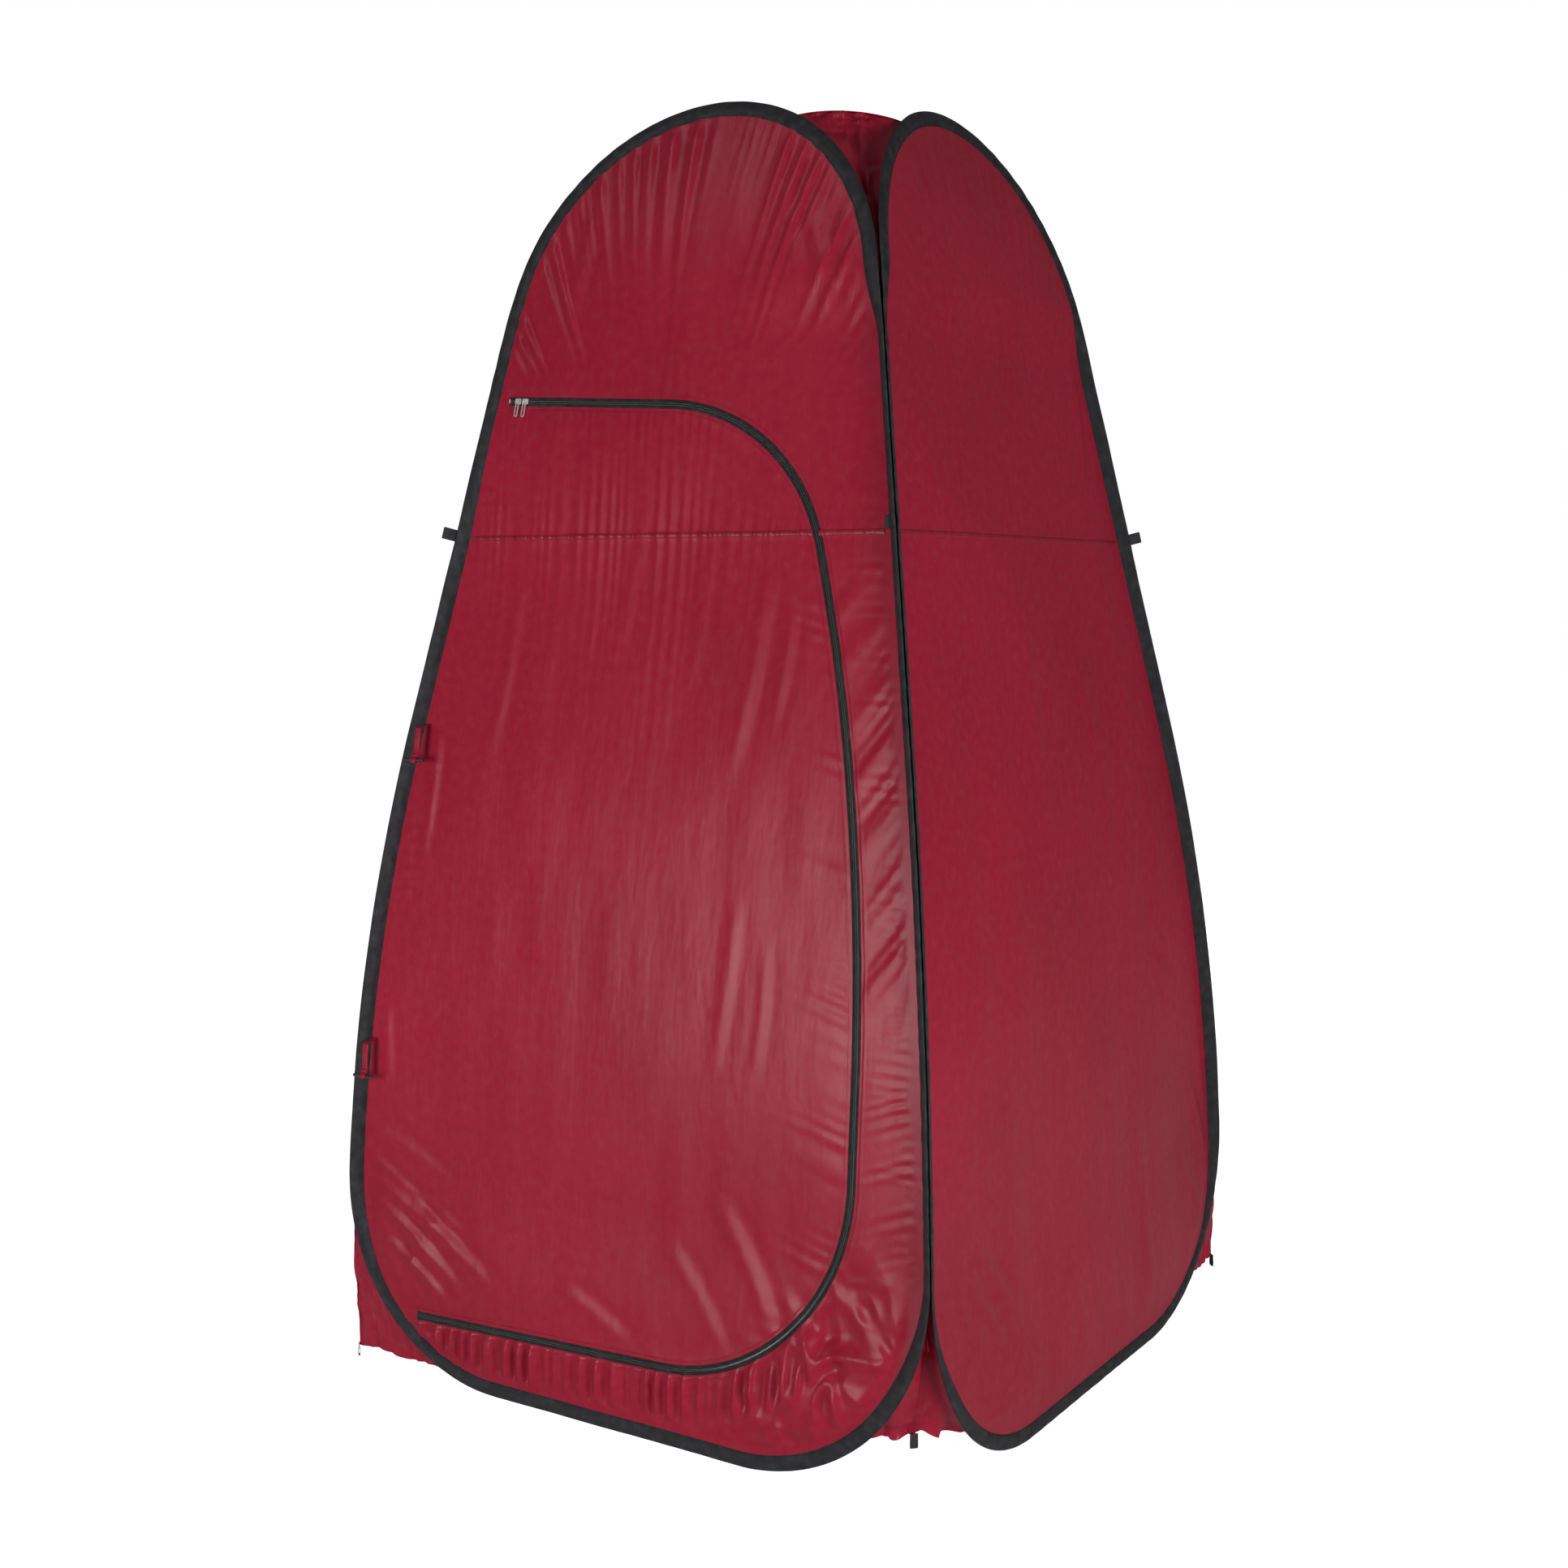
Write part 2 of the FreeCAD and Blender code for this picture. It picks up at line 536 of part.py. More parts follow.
def zip_end_parts():
    """End stop and stitched patch at the zip's parked end."""
    end_x, end_z = zip_point(ZIP_TAIL - STOP_LENGTH / 2)
    stop = block((-STOP_LENGTH / 2, STOP_LENGTH / 2), (-CHAIN_WIDTH / 2, CHAIN_WIDTH / 2),
                 (HALF_CLOTH, CHAIN_PROUD + SLIDER_PLATE))
    patch_x, patch_z = zip_point(ZIP_TAIL + PATCH_LENGTH / 2)
    patch = block((-PATCH_LENGTH / 2, PATCH_LENGTH / 2), (-ZIP_WIDTH, ZIP_WIDTH),
                  (HALF_CLOTH, HALF_CLOTH + CLOTH))
    run = zip_direction()
    patch = placed(patch, on_face(patch_x, patch_z, run)).cut(sleeve_zone(0))
    return {"zip_stop": placed(stop, on_face(end_x, end_z, run)),
            "zip_patch": max(patch.Solids, key=lambda s: s.Volume)}


def slider_parts():
    """Two sliders side by side on the parked end of the chain, each with its pull."""
    parts = {}
    run = zip_direction()
    for i, name in enumerate(("inner", "outer")):
        x, z = zip_point(SLIDER_PARK + SLIDER_LENGTH / 2 + i * SLIDER_PITCH)
        parts["slider_" + name] = placed(slider(), on_face(x, z, run))
        parts["pull_" + name] = placed(pull(), on_face(x, z, run))
    return parts


def tie_parts():
    """Straps, toggles and keeper loops along the front wall's left edge."""
    parts = {}
    for name, z in STRAP_HEIGHTS.items():
        x = -(face_distance(z) - WALL_INSET)
        parts["strap_" + name] = placed(strap(), on_face(x, z))
        parts["toggle_" + name] = placed(toggle(), on_face(x, z))
        parts["keeper_" + name] = placed(keeper(), on_face(x, z))
    return parts


def corner_clear(shape, turns_gap):
    """Cut a front right corner piece away from the front sleeve and, with a gap, the right one."""
    front = sleeve_zone(0)
    right = turned(sleeve_zone(turns_gap), 1)
    return shape.cut(front).cut(right)


def guy_loops():
    """Webbing loops at seam height: three stand out on the diagonal, the front right lies flat."""
    parts = {}
    half = GUY_LOOP_WIDTH / 2
    tab = block((-SLEEVE_THICKNESS, GUY_LOOP_LENGTH), (-WEBBING / 2, WEBBING / 2), (-half, half))
    tab = corner_clear(placed(tab, corner_place(SEAM_HEIGHT, 0)), CORNER_GAP)
    outer = max(tab.Solids, key=lambda s: s.Volume)
    for turns in (1, 2, 3):
        parts[CORNERS[turns] + "_guy_loop"] = turned(outer, turns)
    right = face_distance(SEAM_HEIGHT) - EDGE_INSET
    flat = block((right - GUY_LOOP_LENGTH - 2 * WEBBING, right), (-half, half),
                 (HALF_SLEEVE, HALF_SLEEVE + WEBBING))
    parts["front_right_guy_loop"] = placed(flat, on_face(0, SEAM_HEIGHT + half))
    return parts


def arch_point(angle_deg, back):
    """Point of the front arch, this many degrees from its top, behind the sleeve."""
    angle = math.radians(angle_deg)
    radius = ARCH_RADIUS - EDGE_INSET - SLEEVE_WIDTH / 2
    z = ARCH_CENTRE[1] + radius * math.cos(angle)
    return Vector(radius * math.sin(angle), -face_distance(z) + back, z)


def mirrored(point):
    """The same point on the right face's side of the front right corner."""
    return Vector(-point.y, -point.x, point.z)


def ruled_solid(sections):
    wires = [Part.makePolygon(points + points[:1]) for points in sections]
    return Part.makeLoft(wires, True, True)


def top_gusset():
    """Cloth between the front and right arches, from where they part up to the roof's seam."""
    thickness = Vector(-1, 1, 0).normalize() * CLOTH
    highest = ROOF_SPREAD_DEG + ROOF_SEAM_DEG
    lowest = 90 - math.degrees(ARCH_ANGLE) - GUSSET_FOOT_DEG
    sections = []
    for i in range(GUSSET_STEPS + 1):
        angle = highest + (lowest - highest) * i / GUSSET_STEPS
        front = arch_point(angle, 0)
        right = mirrored(front)
        sections.append([front, right, right + thickness, front + thickness])
    shape = corner_clear(ruled_solid(sections), CORNER_GAP)
    shape = shape.cut(slab(-HALF_SLEEVE, REACH / 2))
    shape = shape.cut(turned(slab(-HALF_SLEEVE - CORNER_GAP, REACH / 2), 1))
    return max(shape.Solids, key=lambda s: s.Volume)


def roof_quarter():
    """Roof cloth from the middle to the front arch, bounded by the two diagonals."""
    middle = Vector(0, 0, HEIGHT - ROOF_MIDDLE_DROP)
    angles = [ROOF_SPREAD_DEG * i / GUSSET_STEPS for i in range(-GUSSET_STEPS, GUSSET_STEPS + 1)]
    rim = [arch_point(a, 0) for a in angles]
    seam_middle = (rim[-1] + mirrored(rim[-1])) * 0.5
    other = Vector(-seam_middle.x, seam_middle.y, seam_middle.z)
    fan = [other] + rim + [seam_middle]
    shape = None
    for a, b in zip(fan, fan[1:]):
        facet = Part.Face(Part.makePolygon([middle, a, b, middle])).extrude(Vector(0, 0, -CLOTH))
        shape = facet if shape is None else shape.fuse(facet)
    edge = CORNER_GAP
    wedge = Part.makePolygon([Vector(0, -edge, 0), Vector(REACH, -REACH - edge, 0),
                              Vector(-REACH, -REACH - edge, 0), Vector(0, -edge, 0)])
    shape = shape.common(Part.Face(wedge).extrude(Vector(0, 0, HEIGHT)))
    shape = shape.cut(slab(-HALF_SLEEVE, REACH / 2)).removeSplitter()
    return max(shape.Solids, key=lambda s: s.Volume)


def base_gusset(hem, recess):
    """Corner cloth below the point where the front and right loops part, down to its hem."""
    thickness = Vector(-1, 1, 0).normalize() * CLOTH
    top = FOOT_TOUCH[1]
    sections = []
    for i in range(GUSSET_STEPS + 1):
        share = i / GUSSET_STEPS
        z = hem + (top - hem) * share
        edge = face_distance(z) - EDGE_INSET
        apex = edge - recess * (1 - share)
        hold = min(loop_half_width(z, EDGE_INSET), edge) - SLEEVE_WIDTH / 2
        front = Vector(hold, -edge, z)
        right = mirrored(front)
        corner = Vector(apex, -apex, z)
        sections.append([front, corner, right, right + thickness, corner + thickness,
                         front + thickness])
    return ruled_solid(sections)


def peg_loop(hem, recess):
    """Small webbing loop that hangs from the base gusset's corner to the ground."""
    apex = face_distance(hem) - EDGE_INSET - recess
    length = min(PEG_LOOP_LENGTH, hem - GROUND_CLEARANCE)
    low = hem - length
    tab = block((-PEG_LOOP_WIDTH / 2, PEG_LOOP_WIDTH / 2), (-WEBBING / 2, WEBBING / 2), (low, hem))
    tab.rotate(CENTRE, Z_AXIS, -45)
    tab.translate(Vector(apex - CLOTH / 2, -apex + CLOTH / 2, 0))
    return tab


def corner_parts():
    """Roof quarters, top gussets, base gussets and peg loops, turned to each corner."""
    parts = {}
    gusset = top_gusset()
    quarter = roof_quarter()
    for turns in range(4):
        corner = CORNERS[turns]
        parts["roof_" + FACES[turns]] = turned(quarter, turns)
        parts[corner + "_top_gusset"] = turned(gusset, turns)
        hem, recess = HEM_HEIGHT[corner], HEM_RECESS[corner]
        parts[corner + "_base_gusset"] = turned(base_gusset(hem, recess), turns)
        parts[corner + "_peg_loop"] = turned(peg_loop(hem, recess), turns)
    return parts


def tent():
    parts = {}
    for turns, name in enumerate(FACES):
        parts.update(loop_parts(name, turns))
        if name != "front":
            parts.update(wall_parts(name, turns))
    parts.update(front_parts())
    parts.update(zip_end_parts())
    parts.update(slider_parts())
    parts.update(tie_parts())
    parts.update(guy_loops())
    parts.update(corner_parts())
    return parts


os.makedirs("parts", exist_ok=True)
for part_name, part_shape in tent().items():
    part_shape.exportStep("parts/" + part_name + ".step")
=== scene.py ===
"""Looks of the pop-up shower tent: wrinkled taffeta walls in four sprung loops, with a zipped door.

Metres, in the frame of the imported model: ground at z = 0, door face towards -Y, right face
towards +X.  A face is a sheet that bows in height only.  It stands at a distance d(z) from the
middle, and a point on it is given by x along the face, z, and a height off the cloth's middle.
The same face, turned by quarter turns about Z, gives the right, back and left faces.
"""
import json
import math

import bmesh
import bpy
import numpy as np
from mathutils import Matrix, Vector

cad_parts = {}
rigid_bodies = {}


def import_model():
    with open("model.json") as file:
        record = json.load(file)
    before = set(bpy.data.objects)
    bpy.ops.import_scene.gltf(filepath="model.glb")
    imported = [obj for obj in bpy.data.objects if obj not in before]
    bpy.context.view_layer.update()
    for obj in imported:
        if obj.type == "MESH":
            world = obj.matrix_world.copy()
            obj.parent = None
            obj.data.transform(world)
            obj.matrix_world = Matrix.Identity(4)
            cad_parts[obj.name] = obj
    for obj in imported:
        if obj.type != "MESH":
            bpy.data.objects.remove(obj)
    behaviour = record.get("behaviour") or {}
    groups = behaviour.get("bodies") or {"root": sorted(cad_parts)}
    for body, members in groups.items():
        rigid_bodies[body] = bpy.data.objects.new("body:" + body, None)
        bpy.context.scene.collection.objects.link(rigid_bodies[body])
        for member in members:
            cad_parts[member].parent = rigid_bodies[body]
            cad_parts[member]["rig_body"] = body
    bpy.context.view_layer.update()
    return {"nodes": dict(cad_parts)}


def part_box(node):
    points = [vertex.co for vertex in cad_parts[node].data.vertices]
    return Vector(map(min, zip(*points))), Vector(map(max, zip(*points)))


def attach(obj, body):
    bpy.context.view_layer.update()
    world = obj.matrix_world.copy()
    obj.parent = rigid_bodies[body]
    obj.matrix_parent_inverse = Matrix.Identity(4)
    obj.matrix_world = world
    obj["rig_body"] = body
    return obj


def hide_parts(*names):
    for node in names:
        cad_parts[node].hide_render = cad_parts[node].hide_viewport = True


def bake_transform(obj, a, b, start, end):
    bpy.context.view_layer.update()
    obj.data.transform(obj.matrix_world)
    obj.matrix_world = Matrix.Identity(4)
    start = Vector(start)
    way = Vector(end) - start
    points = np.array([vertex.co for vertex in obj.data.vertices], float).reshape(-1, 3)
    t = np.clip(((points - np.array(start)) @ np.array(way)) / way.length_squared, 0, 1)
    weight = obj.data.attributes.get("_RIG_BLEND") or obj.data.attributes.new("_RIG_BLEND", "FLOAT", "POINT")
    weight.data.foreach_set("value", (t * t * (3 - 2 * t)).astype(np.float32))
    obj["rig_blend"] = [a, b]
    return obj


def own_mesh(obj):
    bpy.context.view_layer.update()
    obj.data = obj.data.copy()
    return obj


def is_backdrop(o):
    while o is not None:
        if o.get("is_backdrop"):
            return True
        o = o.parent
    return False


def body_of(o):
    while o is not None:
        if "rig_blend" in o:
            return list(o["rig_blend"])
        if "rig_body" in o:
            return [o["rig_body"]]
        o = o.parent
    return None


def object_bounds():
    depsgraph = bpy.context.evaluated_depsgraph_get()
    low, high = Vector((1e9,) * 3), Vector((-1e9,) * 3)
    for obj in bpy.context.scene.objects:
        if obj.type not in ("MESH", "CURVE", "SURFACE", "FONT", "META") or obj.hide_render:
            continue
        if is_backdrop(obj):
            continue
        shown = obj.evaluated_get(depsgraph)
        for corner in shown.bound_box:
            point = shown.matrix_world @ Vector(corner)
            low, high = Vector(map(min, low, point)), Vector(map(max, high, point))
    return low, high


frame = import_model()
NODES = frame["nodes"]

# ---- sizes of the frame ---------------------------------------------------------------------
HALF_WIDTH = 0.582             # middle to a face, at its widest
BELLY_HEIGHT = 0.150           # height of the widest point
LOWER_BOW_RADIUS = 5.330       # bow of the lower part of each face
STRAIGHT_START = 1.100         # the bow ends and the straight taper starts
STRAIGHT_END = 1.750           # the taper ends and the crown's bow starts
CROWN_BOW_RADIUS = 2.172       # bow of the top part
SEAM_HEIGHT = 1.434            # level seam between upper and lower walls
FOOT_RADIUS = 0.334            # bottom corners of each loop
FOOT_CENTRE = (0.24477, 0.3297)
FOOT_TOUCH = (0.57855, 0.34171)
ARCH_RADIUS = 0.3680
ARCH_CENTRE_Z = 1.7663
ARCH_TOUCH = (0.35869, 1.84859)
EDGE_INSET = 0.0043            # the face's corner to the sleeve's outer edge
SLEEVE_WIDTH = 0.025
SPRING_WIDTH = 0.005           # flat steel band inside the sleeve
SPRING_THICKNESS = 0.0016
SPRING_INSET = 0.009           # sleeve's outer edge to the band
WALL_INSET = EDGE_INSET + SLEEVE_WIDTH
CLOTH = 0.0005                 # thickness of the taffeta
UNDER_SLEEVE = 0.003           # the walls run this far into their sleeves

DOOR_CORNERS = [(-0.292, 1.655), (0.228, 1.622), (0.431, 0.961), (0.431, 0.137), (-0.417, 0.107)]
DOOR_RADII = [0.0, 0.330, 2.600, 0.345, 0.0]
ZIP_WIDTH = 0.015
CHAIN_WIDTH = 0.0056
ZIP_CLEARANCE = 0.0003
ZIP_TAIL = 0.050
ZIP_LAP = 0.0025               # cloth that laps the tapes' edges

FACES = ["front", "right", "back", "left"]
CORNERS = ["front_right", "back_right", "back_left", "front_left"]
ROOF_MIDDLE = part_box("roof_front")[1].z
ROOF_SPREAD = math.radians(25.0)
ROOF_LIFT = 0.018              # the roof's edge between two arches, above a straight run
HEM_HEIGHT = {"front_right": 0.090, "back_right": 0.060, "back_left": 0.060, "front_left": 0.022}
HEM_RECESS = {"front_right": 0.060, "back_right": 0.006, "back_left": 0.006, "front_left": 0.006}

TAPER = math.asin((STRAIGHT_START - BELLY_HEIGHT) / LOWER_BOW_RADIUS)
LOWER_CENTRE_X = HALF_WIDTH - LOWER_BOW_RADIUS
TAPER_LOW_X = LOWER_CENTRE_X + LOWER_BOW_RADIUS * math.cos(TAPER)
TAPER_HIGH_X = TAPER_LOW_X - (STRAIGHT_END - STRAIGHT_START) * math.tan(TAPER)
CROWN_CENTRE = (TAPER_HIGH_X - CROWN_BOW_RADIUS * math.cos(TAPER),
                STRAIGHT_END - CROWN_BOW_RADIUS * math.sin(TAPER))
FOOT_ANGLE = math.atan2(FOOT_TOUCH[1] - FOOT_CENTRE[1], FOOT_TOUCH[0] - FOOT_CENTRE[0])
ARCH_ANGLE = math.atan2(ARCH_TOUCH[1] - ARCH_CENTRE_Z, ARCH_TOUCH[0])


# ---- curves of the frame --------------------------------------------------------------------
def side_curve(z, inset=0.0):
    """d(z) moved inwards: circle of the lower bow, straight taper, circle of the crown."""
    z = np.asarray(z, float)
    low = (LOWER_CENTRE_X
           + np.sqrt(np.maximum((LOWER_BOW_RADIUS - inset) ** 2 - (z - BELLY_HEIGHT) ** 2, 0)))
    taper = TAPER_LOW_X - (z - STRAIGHT_START) * math.tan(TAPER) - inset / math.cos(TAPER)
    high = (CROWN_CENTRE[0]
            + np.sqrt(np.maximum((CROWN_BOW_RADIUS - inset) ** 2 - (z - CROWN_CENTRE[1]) ** 2, 0)))
    return np.where(z <= STRAIGHT_START, low, np.where(z <= STRAIGHT_END, taper, high))


def face_lean(z):
    """Angle of the face's outward normal above the horizontal: arcsine of rise over bow radius."""
    z = np.asarray(z, float)
    low = np.arcsin(np.clip((z - BELLY_HEIGHT) / LOWER_BOW_RADIUS, -1, 1))
    high = np.arcsin(np.clip((z - CROWN_CENTRE[1]) / CROWN_BOW_RADIUS, -1, 1))
    return np.where(z <= STRAIGHT_START, low, np.where(z <= STRAIGHT_END, TAPER, high))


def turn(points, turns):
    """Points turned about Z by quarter turns: (x, y) becomes (-y, x) each time."""
    for _ in range(turns % 4):
        points = np.stack([-points[..., 1], points[..., 0], points[..., 2]], -1)
    return points


def face_point(x, z, off=0.0, turns=0):
    """Point at (x, z) of a face, raised by off along the face's normal."""
    x, z, off = np.broadcast_arrays(np.asarray(x, float), np.asarray(z, float),
                                    np.asarray(off, float))
    lean = face_lean(z)
    return turn(np.stack([x, -side_curve(z) - off * np.cos(lean), z + off * np.sin(lean)], -1),
                turns)


def half_width(z, inset):
    """Half width of a loop's outline at a height: foot circle, side curve, arch circle."""
    z = np.asarray(z, float)
    foot = (FOOT_CENTRE[0]
            + np.sqrt(np.maximum((FOOT_RADIUS - inset) ** 2 - (z - FOOT_CENTRE[1]) ** 2, 0)))
    arch = np.sqrt(np.maximum((ARCH_RADIUS - inset) ** 2 - (z - ARCH_CENTRE_Z) ** 2, 0))
    foot_top = FOOT_CENTRE[1] + (FOOT_RADIUS - inset) * math.sin(FOOT_ANGLE)
    arch_low = ARCH_CENTRE_Z + (ARCH_RADIUS - inset) * math.sin(ARCH_ANGLE)
    return np.where(z < foot_top, foot, np.where(z < arch_low, side_curve(z, inset), arch))


def edge_distance(x, z, inset=WALL_INSET):
    """About how far a face point lies inside the loop's outline: least gap to its curves."""
    x = np.abs(x)
    side = side_curve(z, inset) - x
    arch = ARCH_RADIUS - inset - np.hypot(x, z - ARCH_CENTRE_Z)
    foot = FOOT_RADIUS - inset - np.hypot(np.maximum(x - FOOT_CENTRE[0], 0), z - FOOT_CENTRE[1])
    gap = np.where(z > ARCH_CENTRE_Z, np.minimum(side, arch), side)
    return np.maximum(np.where(z < FOOT_CENTRE[1], np.minimum(gap, foot), gap), 0)


# Along a corner two sleeves are sewn back to back, so both stand out on the diagonal like a fin.
# For each face: where the fin of its left and of its right edge starts and ends, and how gently.
FIN_ROLL = math.radians(45)
FIN_FOOT, FIN_FOOT_EASE = 0.110, 0.26
FIN_ZONES = [((FIN_FOOT, 1.62, 0.30), (FIN_FOOT, 1.85, 0.13)),
             ((FIN_FOOT, 1.85, 0.13), (FIN_FOOT, 1.85, 0.13)),
             ((FIN_FOOT, 1.85, 0.13), (FIN_FOOT, 1.85, 0.13)),
             ((FIN_FOOT, 1.85, 0.13), (FIN_FOOT, 1.62, 0.30))]


def fin_roll(z, turns, right):
    """Roll of a sleeve about its outer edge: 45 degrees along the corner, easing to none."""
    low, high, ease = FIN_ZONES[turns][1 if right else 0]
    return FIN_ROLL * smooth((z - low) / FIN_FOOT_EASE) * smooth((high - z) / ease)


def side_roll(x, z, turns):
    return np.where(x < 0, fin_roll(z, turns, False), fin_roll(z, turns, True))


def dish(x, z, turns):
    """How far a wall sits inwards because its edges are sewn to the inner side of the fins."""
    left, right = fin_roll(z, turns, False), fin_roll(z, turns, True)
    if turns == 0:
        share = smooth((x + 0.03) / 0.33)
    elif turns == 3:
        share = smooth((x + 0.25) / 0.5)
    else:
        share = 0.5
    return -SLEEVE_WIDTH * (np.sin(left) * (1 - share) + np.sin(right) * share)


def fin_gain(x, z, turns):
    """How much nearer to the corner a wall reaches where its sleeve is rolled."""
    return np.sign(x) * SLEEVE_WIDTH * (1 - np.cos(side_roll(x, z, turns)))


def smooth(t):
    """0 below 0, 1 above 1, and a soft s between: 3t^2 - 2t^3."""
    t = np.clip(t, 0, 1)
    return t * t * (3 - 2 * t)


def resample(points, count, closed=False):
    """Points spaced evenly by length along a chain of straight runs."""
    if closed:
        points = np.vstack([points, points[:1]])
    run = np.concatenate([[0], np.cumsum(np.linalg.norm(np.diff(points, axis=0), axis=1))])
    at = np.linspace(0, run[-1], count, endpoint=not closed)
    return np.stack([np.interp(at, run, points[:, k]) for k in range(points.shape[1])], -1)


def path_normals(points, closed=False):
    """Unit normals to the left of a flat path's direction of travel."""
    if closed:
        along = np.roll(points, -1, 0) - np.roll(points, 1, 0)
    else:
        along = np.gradient(points, axis=0)
    along /= np.linalg.norm(along, axis=1)[:, None]
    return np.stack([-along[:, 1], along[:, 0]], -1)


def path_length(points, closed=False):
    ends = np.vstack([points, points[:1]]) if closed else points
    return float(np.linalg.norm(np.diff(ends, axis=0), axis=1).sum())


def loop_path(inset, count):
    """A loop's outline: level foot, foot circle, side curve, arch circle, and their mirror."""
    foot = np.linspace(-math.pi / 2, FOOT_ANGLE, 160)
    arch = np.linspace(ARCH_ANGLE, math.pi / 2, 160)
    z = np.linspace(FOOT_CENTRE[1] + (FOOT_RADIUS - inset) * math.sin(FOOT_ANGLE),
                    ARCH_CENTRE_Z + (ARCH_RADIUS - inset) * math.sin(ARCH_ANGLE), 600)[1:-1]
    right = np.vstack([
        [(0, inset - EDGE_INSET)],
        np.stack([FOOT_CENTRE[0] + (FOOT_RADIUS - inset) * np.cos(foot),
                  FOOT_CENTRE[1] + (FOOT_RADIUS - inset) * np.sin(foot)], -1),
        np.stack([side_curve(z, inset), z], -1),
        np.stack([(ARCH_RADIUS - inset) * np.cos(arch),
                  ARCH_CENTRE_Z + (ARCH_RADIUS - inset) * np.sin(arch)], -1)])
    left = right[1:-1][::-1] * (-1, 1)
    return resample(np.vstack([right, left]), count, closed=True)


def rounded(corners, radii, steps=60):
    """Straight runs whose corners are rounded by arcs that touch both runs."""
    corners = np.array(corners, float)
    found = []
    for i, (here, radius) in enumerate(zip(corners, radii)):
        if not radius:
            found.append(here[None])
            continue
        u = corners[i - 1] - here
        v = corners[(i + 1) % len(corners)] - here
        u, v = u / np.linalg.norm(u), v / np.linalg.norm(v)
        half = math.acos(np.clip(u @ v, -1, 1)) / 2
        middle = here + (u + v) / np.linalg.norm(u + v) * radius / math.sin(half)
        a = here + u * radius / math.tan(half) - middle
        b = here + v * radius / math.tan(half) - middle
        t = np.linspace(0, 1, steps)[:, None]
        sweep = math.acos(np.clip(a @ b / radius ** 2, -1, 1))
        found.append(middle + (np.sin((1 - t) * sweep) * a + np.sin(t * sweep) * b)
                     / math.sin(sweep))
    return np.vstack(found)


DOOR_LINE = resample(rounded(DOOR_CORNERS, DOOR_RADII), 1400)
DOOR_NORMALS = path_normals(DOOR_LINE)


# ---- noise and folds ------------------------------------------------------------------------
def wander(t, step, seed):
    """Smooth random curve from -1 to 1: a random value at every step, joined by soft s curves."""
    values = np.random.RandomState(seed).uniform(-1, 1, 512)
    t = np.asarray(t, float) / step + 101.3
    low = np.floor(t).astype(int)
    share = smooth(t - low)
    return values[low % 512] * (1 - share) + values[(low + 1) % 512] * share


def patchy(x, z, step, seed):
    """The same in two directions: random values on a square lattice, joined by soft s curves."""
    values = np.random.RandomState(seed).uniform(-1, 1, (256, 256))
    x, z = np.asarray(x, float) / step + 51.7, np.asarray(z, float) / step + 23.1
    i, j = np.floor(x).astype(int), np.floor(z).astype(int)
    u, v = smooth(x - i), smooth(z - j)
    low = values[i % 256, j % 256] * (1 - u) + values[(i + 1) % 256, j % 256] * u
    high = values[i % 256, (j + 1) % 256] * (1 - u) + values[(i + 1) % 256, (j + 1) % 256] * u
    return low * (1 - v) + high * v


def folds(t, away, pitch, reach, height, seed):
    """Folds that leave an edge: a wave of uneven pitch along t that dies away from the edge."""
    wave = np.sin(2 * math.pi * (t / pitch + 0.55 * wander(t, 2.2 * pitch, seed)))
    strength = 0.5 + 0.5 * wander(t, 1.7 * pitch, seed + 1)
    length = reach * (0.25 + 1.6 * strength ** 2)
    return (height * strength * (wave + 0.25 * np.abs(wave))
            * np.exp(-(np.abs(away) / length) ** 1.4))


def crease(x, z, start, end, width, height):
    """One fold along a straight run: a bell across it, tapering to nothing at both ends."""
    (x0, z0), (x1, z1) = start, end
    length = math.hypot(x1 - x0, z1 - z0)
    ux, uz = (x1 - x0) / length, (z1 - z0) / length
    along = ((x - x0) * ux + (z - z0) * uz) / length
    across = (x - x0) * -uz + (z - z0) * ux
    bend = across - 0.03 * length * np.sin(math.pi * np.clip(along, 0, 1))
    taper = smooth(along * 4) * smooth((1 - along) * 2.5)
    width = 1.15 * width
    return 0.55 * height * taper * (np.exp(-(bend / width) ** 2)
                                    - 0.6 * np.exp(-((bend - 1.5 * width) / width) ** 2))


def crumple(x, z, step, height, seed):
    """Sharp-edged crumples: one minus the size of patchy noise, at two scales."""
    warp_x = x + 0.5 * step * patchy(x, z, step * 1.3, seed + 5)
    warp_z = z + 0.5 * step * patchy(x, z, step * 1.3, seed + 6)
    wide = 1 - 2 * np.abs(patchy(warp_x, warp_z, step, seed))
    fine = 1 - 2 * np.abs(patchy(warp_x, warp_z, step * 0.45, seed + 1))
    return height * (wide + 0.35 * fine)


def hill(x, z, middle, size):
    """A soft round mask that is 1 at its middle and dies away."""
    return np.exp(-((x - middle[0]) / size[0]) ** 2 - ((z - middle[1]) / size[1]) ** 2)


def beyond_zip(x, z):
    """Signed distance of each point from the zip's line, positive outside the door."""
    line, normals = DOOR_LINE[::4], DOOR_NORMALS[::4]
    flat = np.stack([np.ravel(x), np.ravel(z)], -1)
    nearest = np.zeros(len(flat), int)
    for i in range(0, len(flat), 8000):
        gap = flat[i:i + 8000, None] - line[None]
        nearest[i:i + 8000] = np.argmin((gap ** 2).sum(-1), 1)
    return ((flat - line[nearest]) * normals[nearest]).sum(-1).reshape(np.shape(x))


def rising(value, start, length):
    """0 below a start, 1 beyond start + length, a soft s between."""
    return smooth((value - start) / length)


def falling(value, end, length):
    """0 above an end, 1 below end - length, a soft s between."""
    return smooth((end - value) / length)


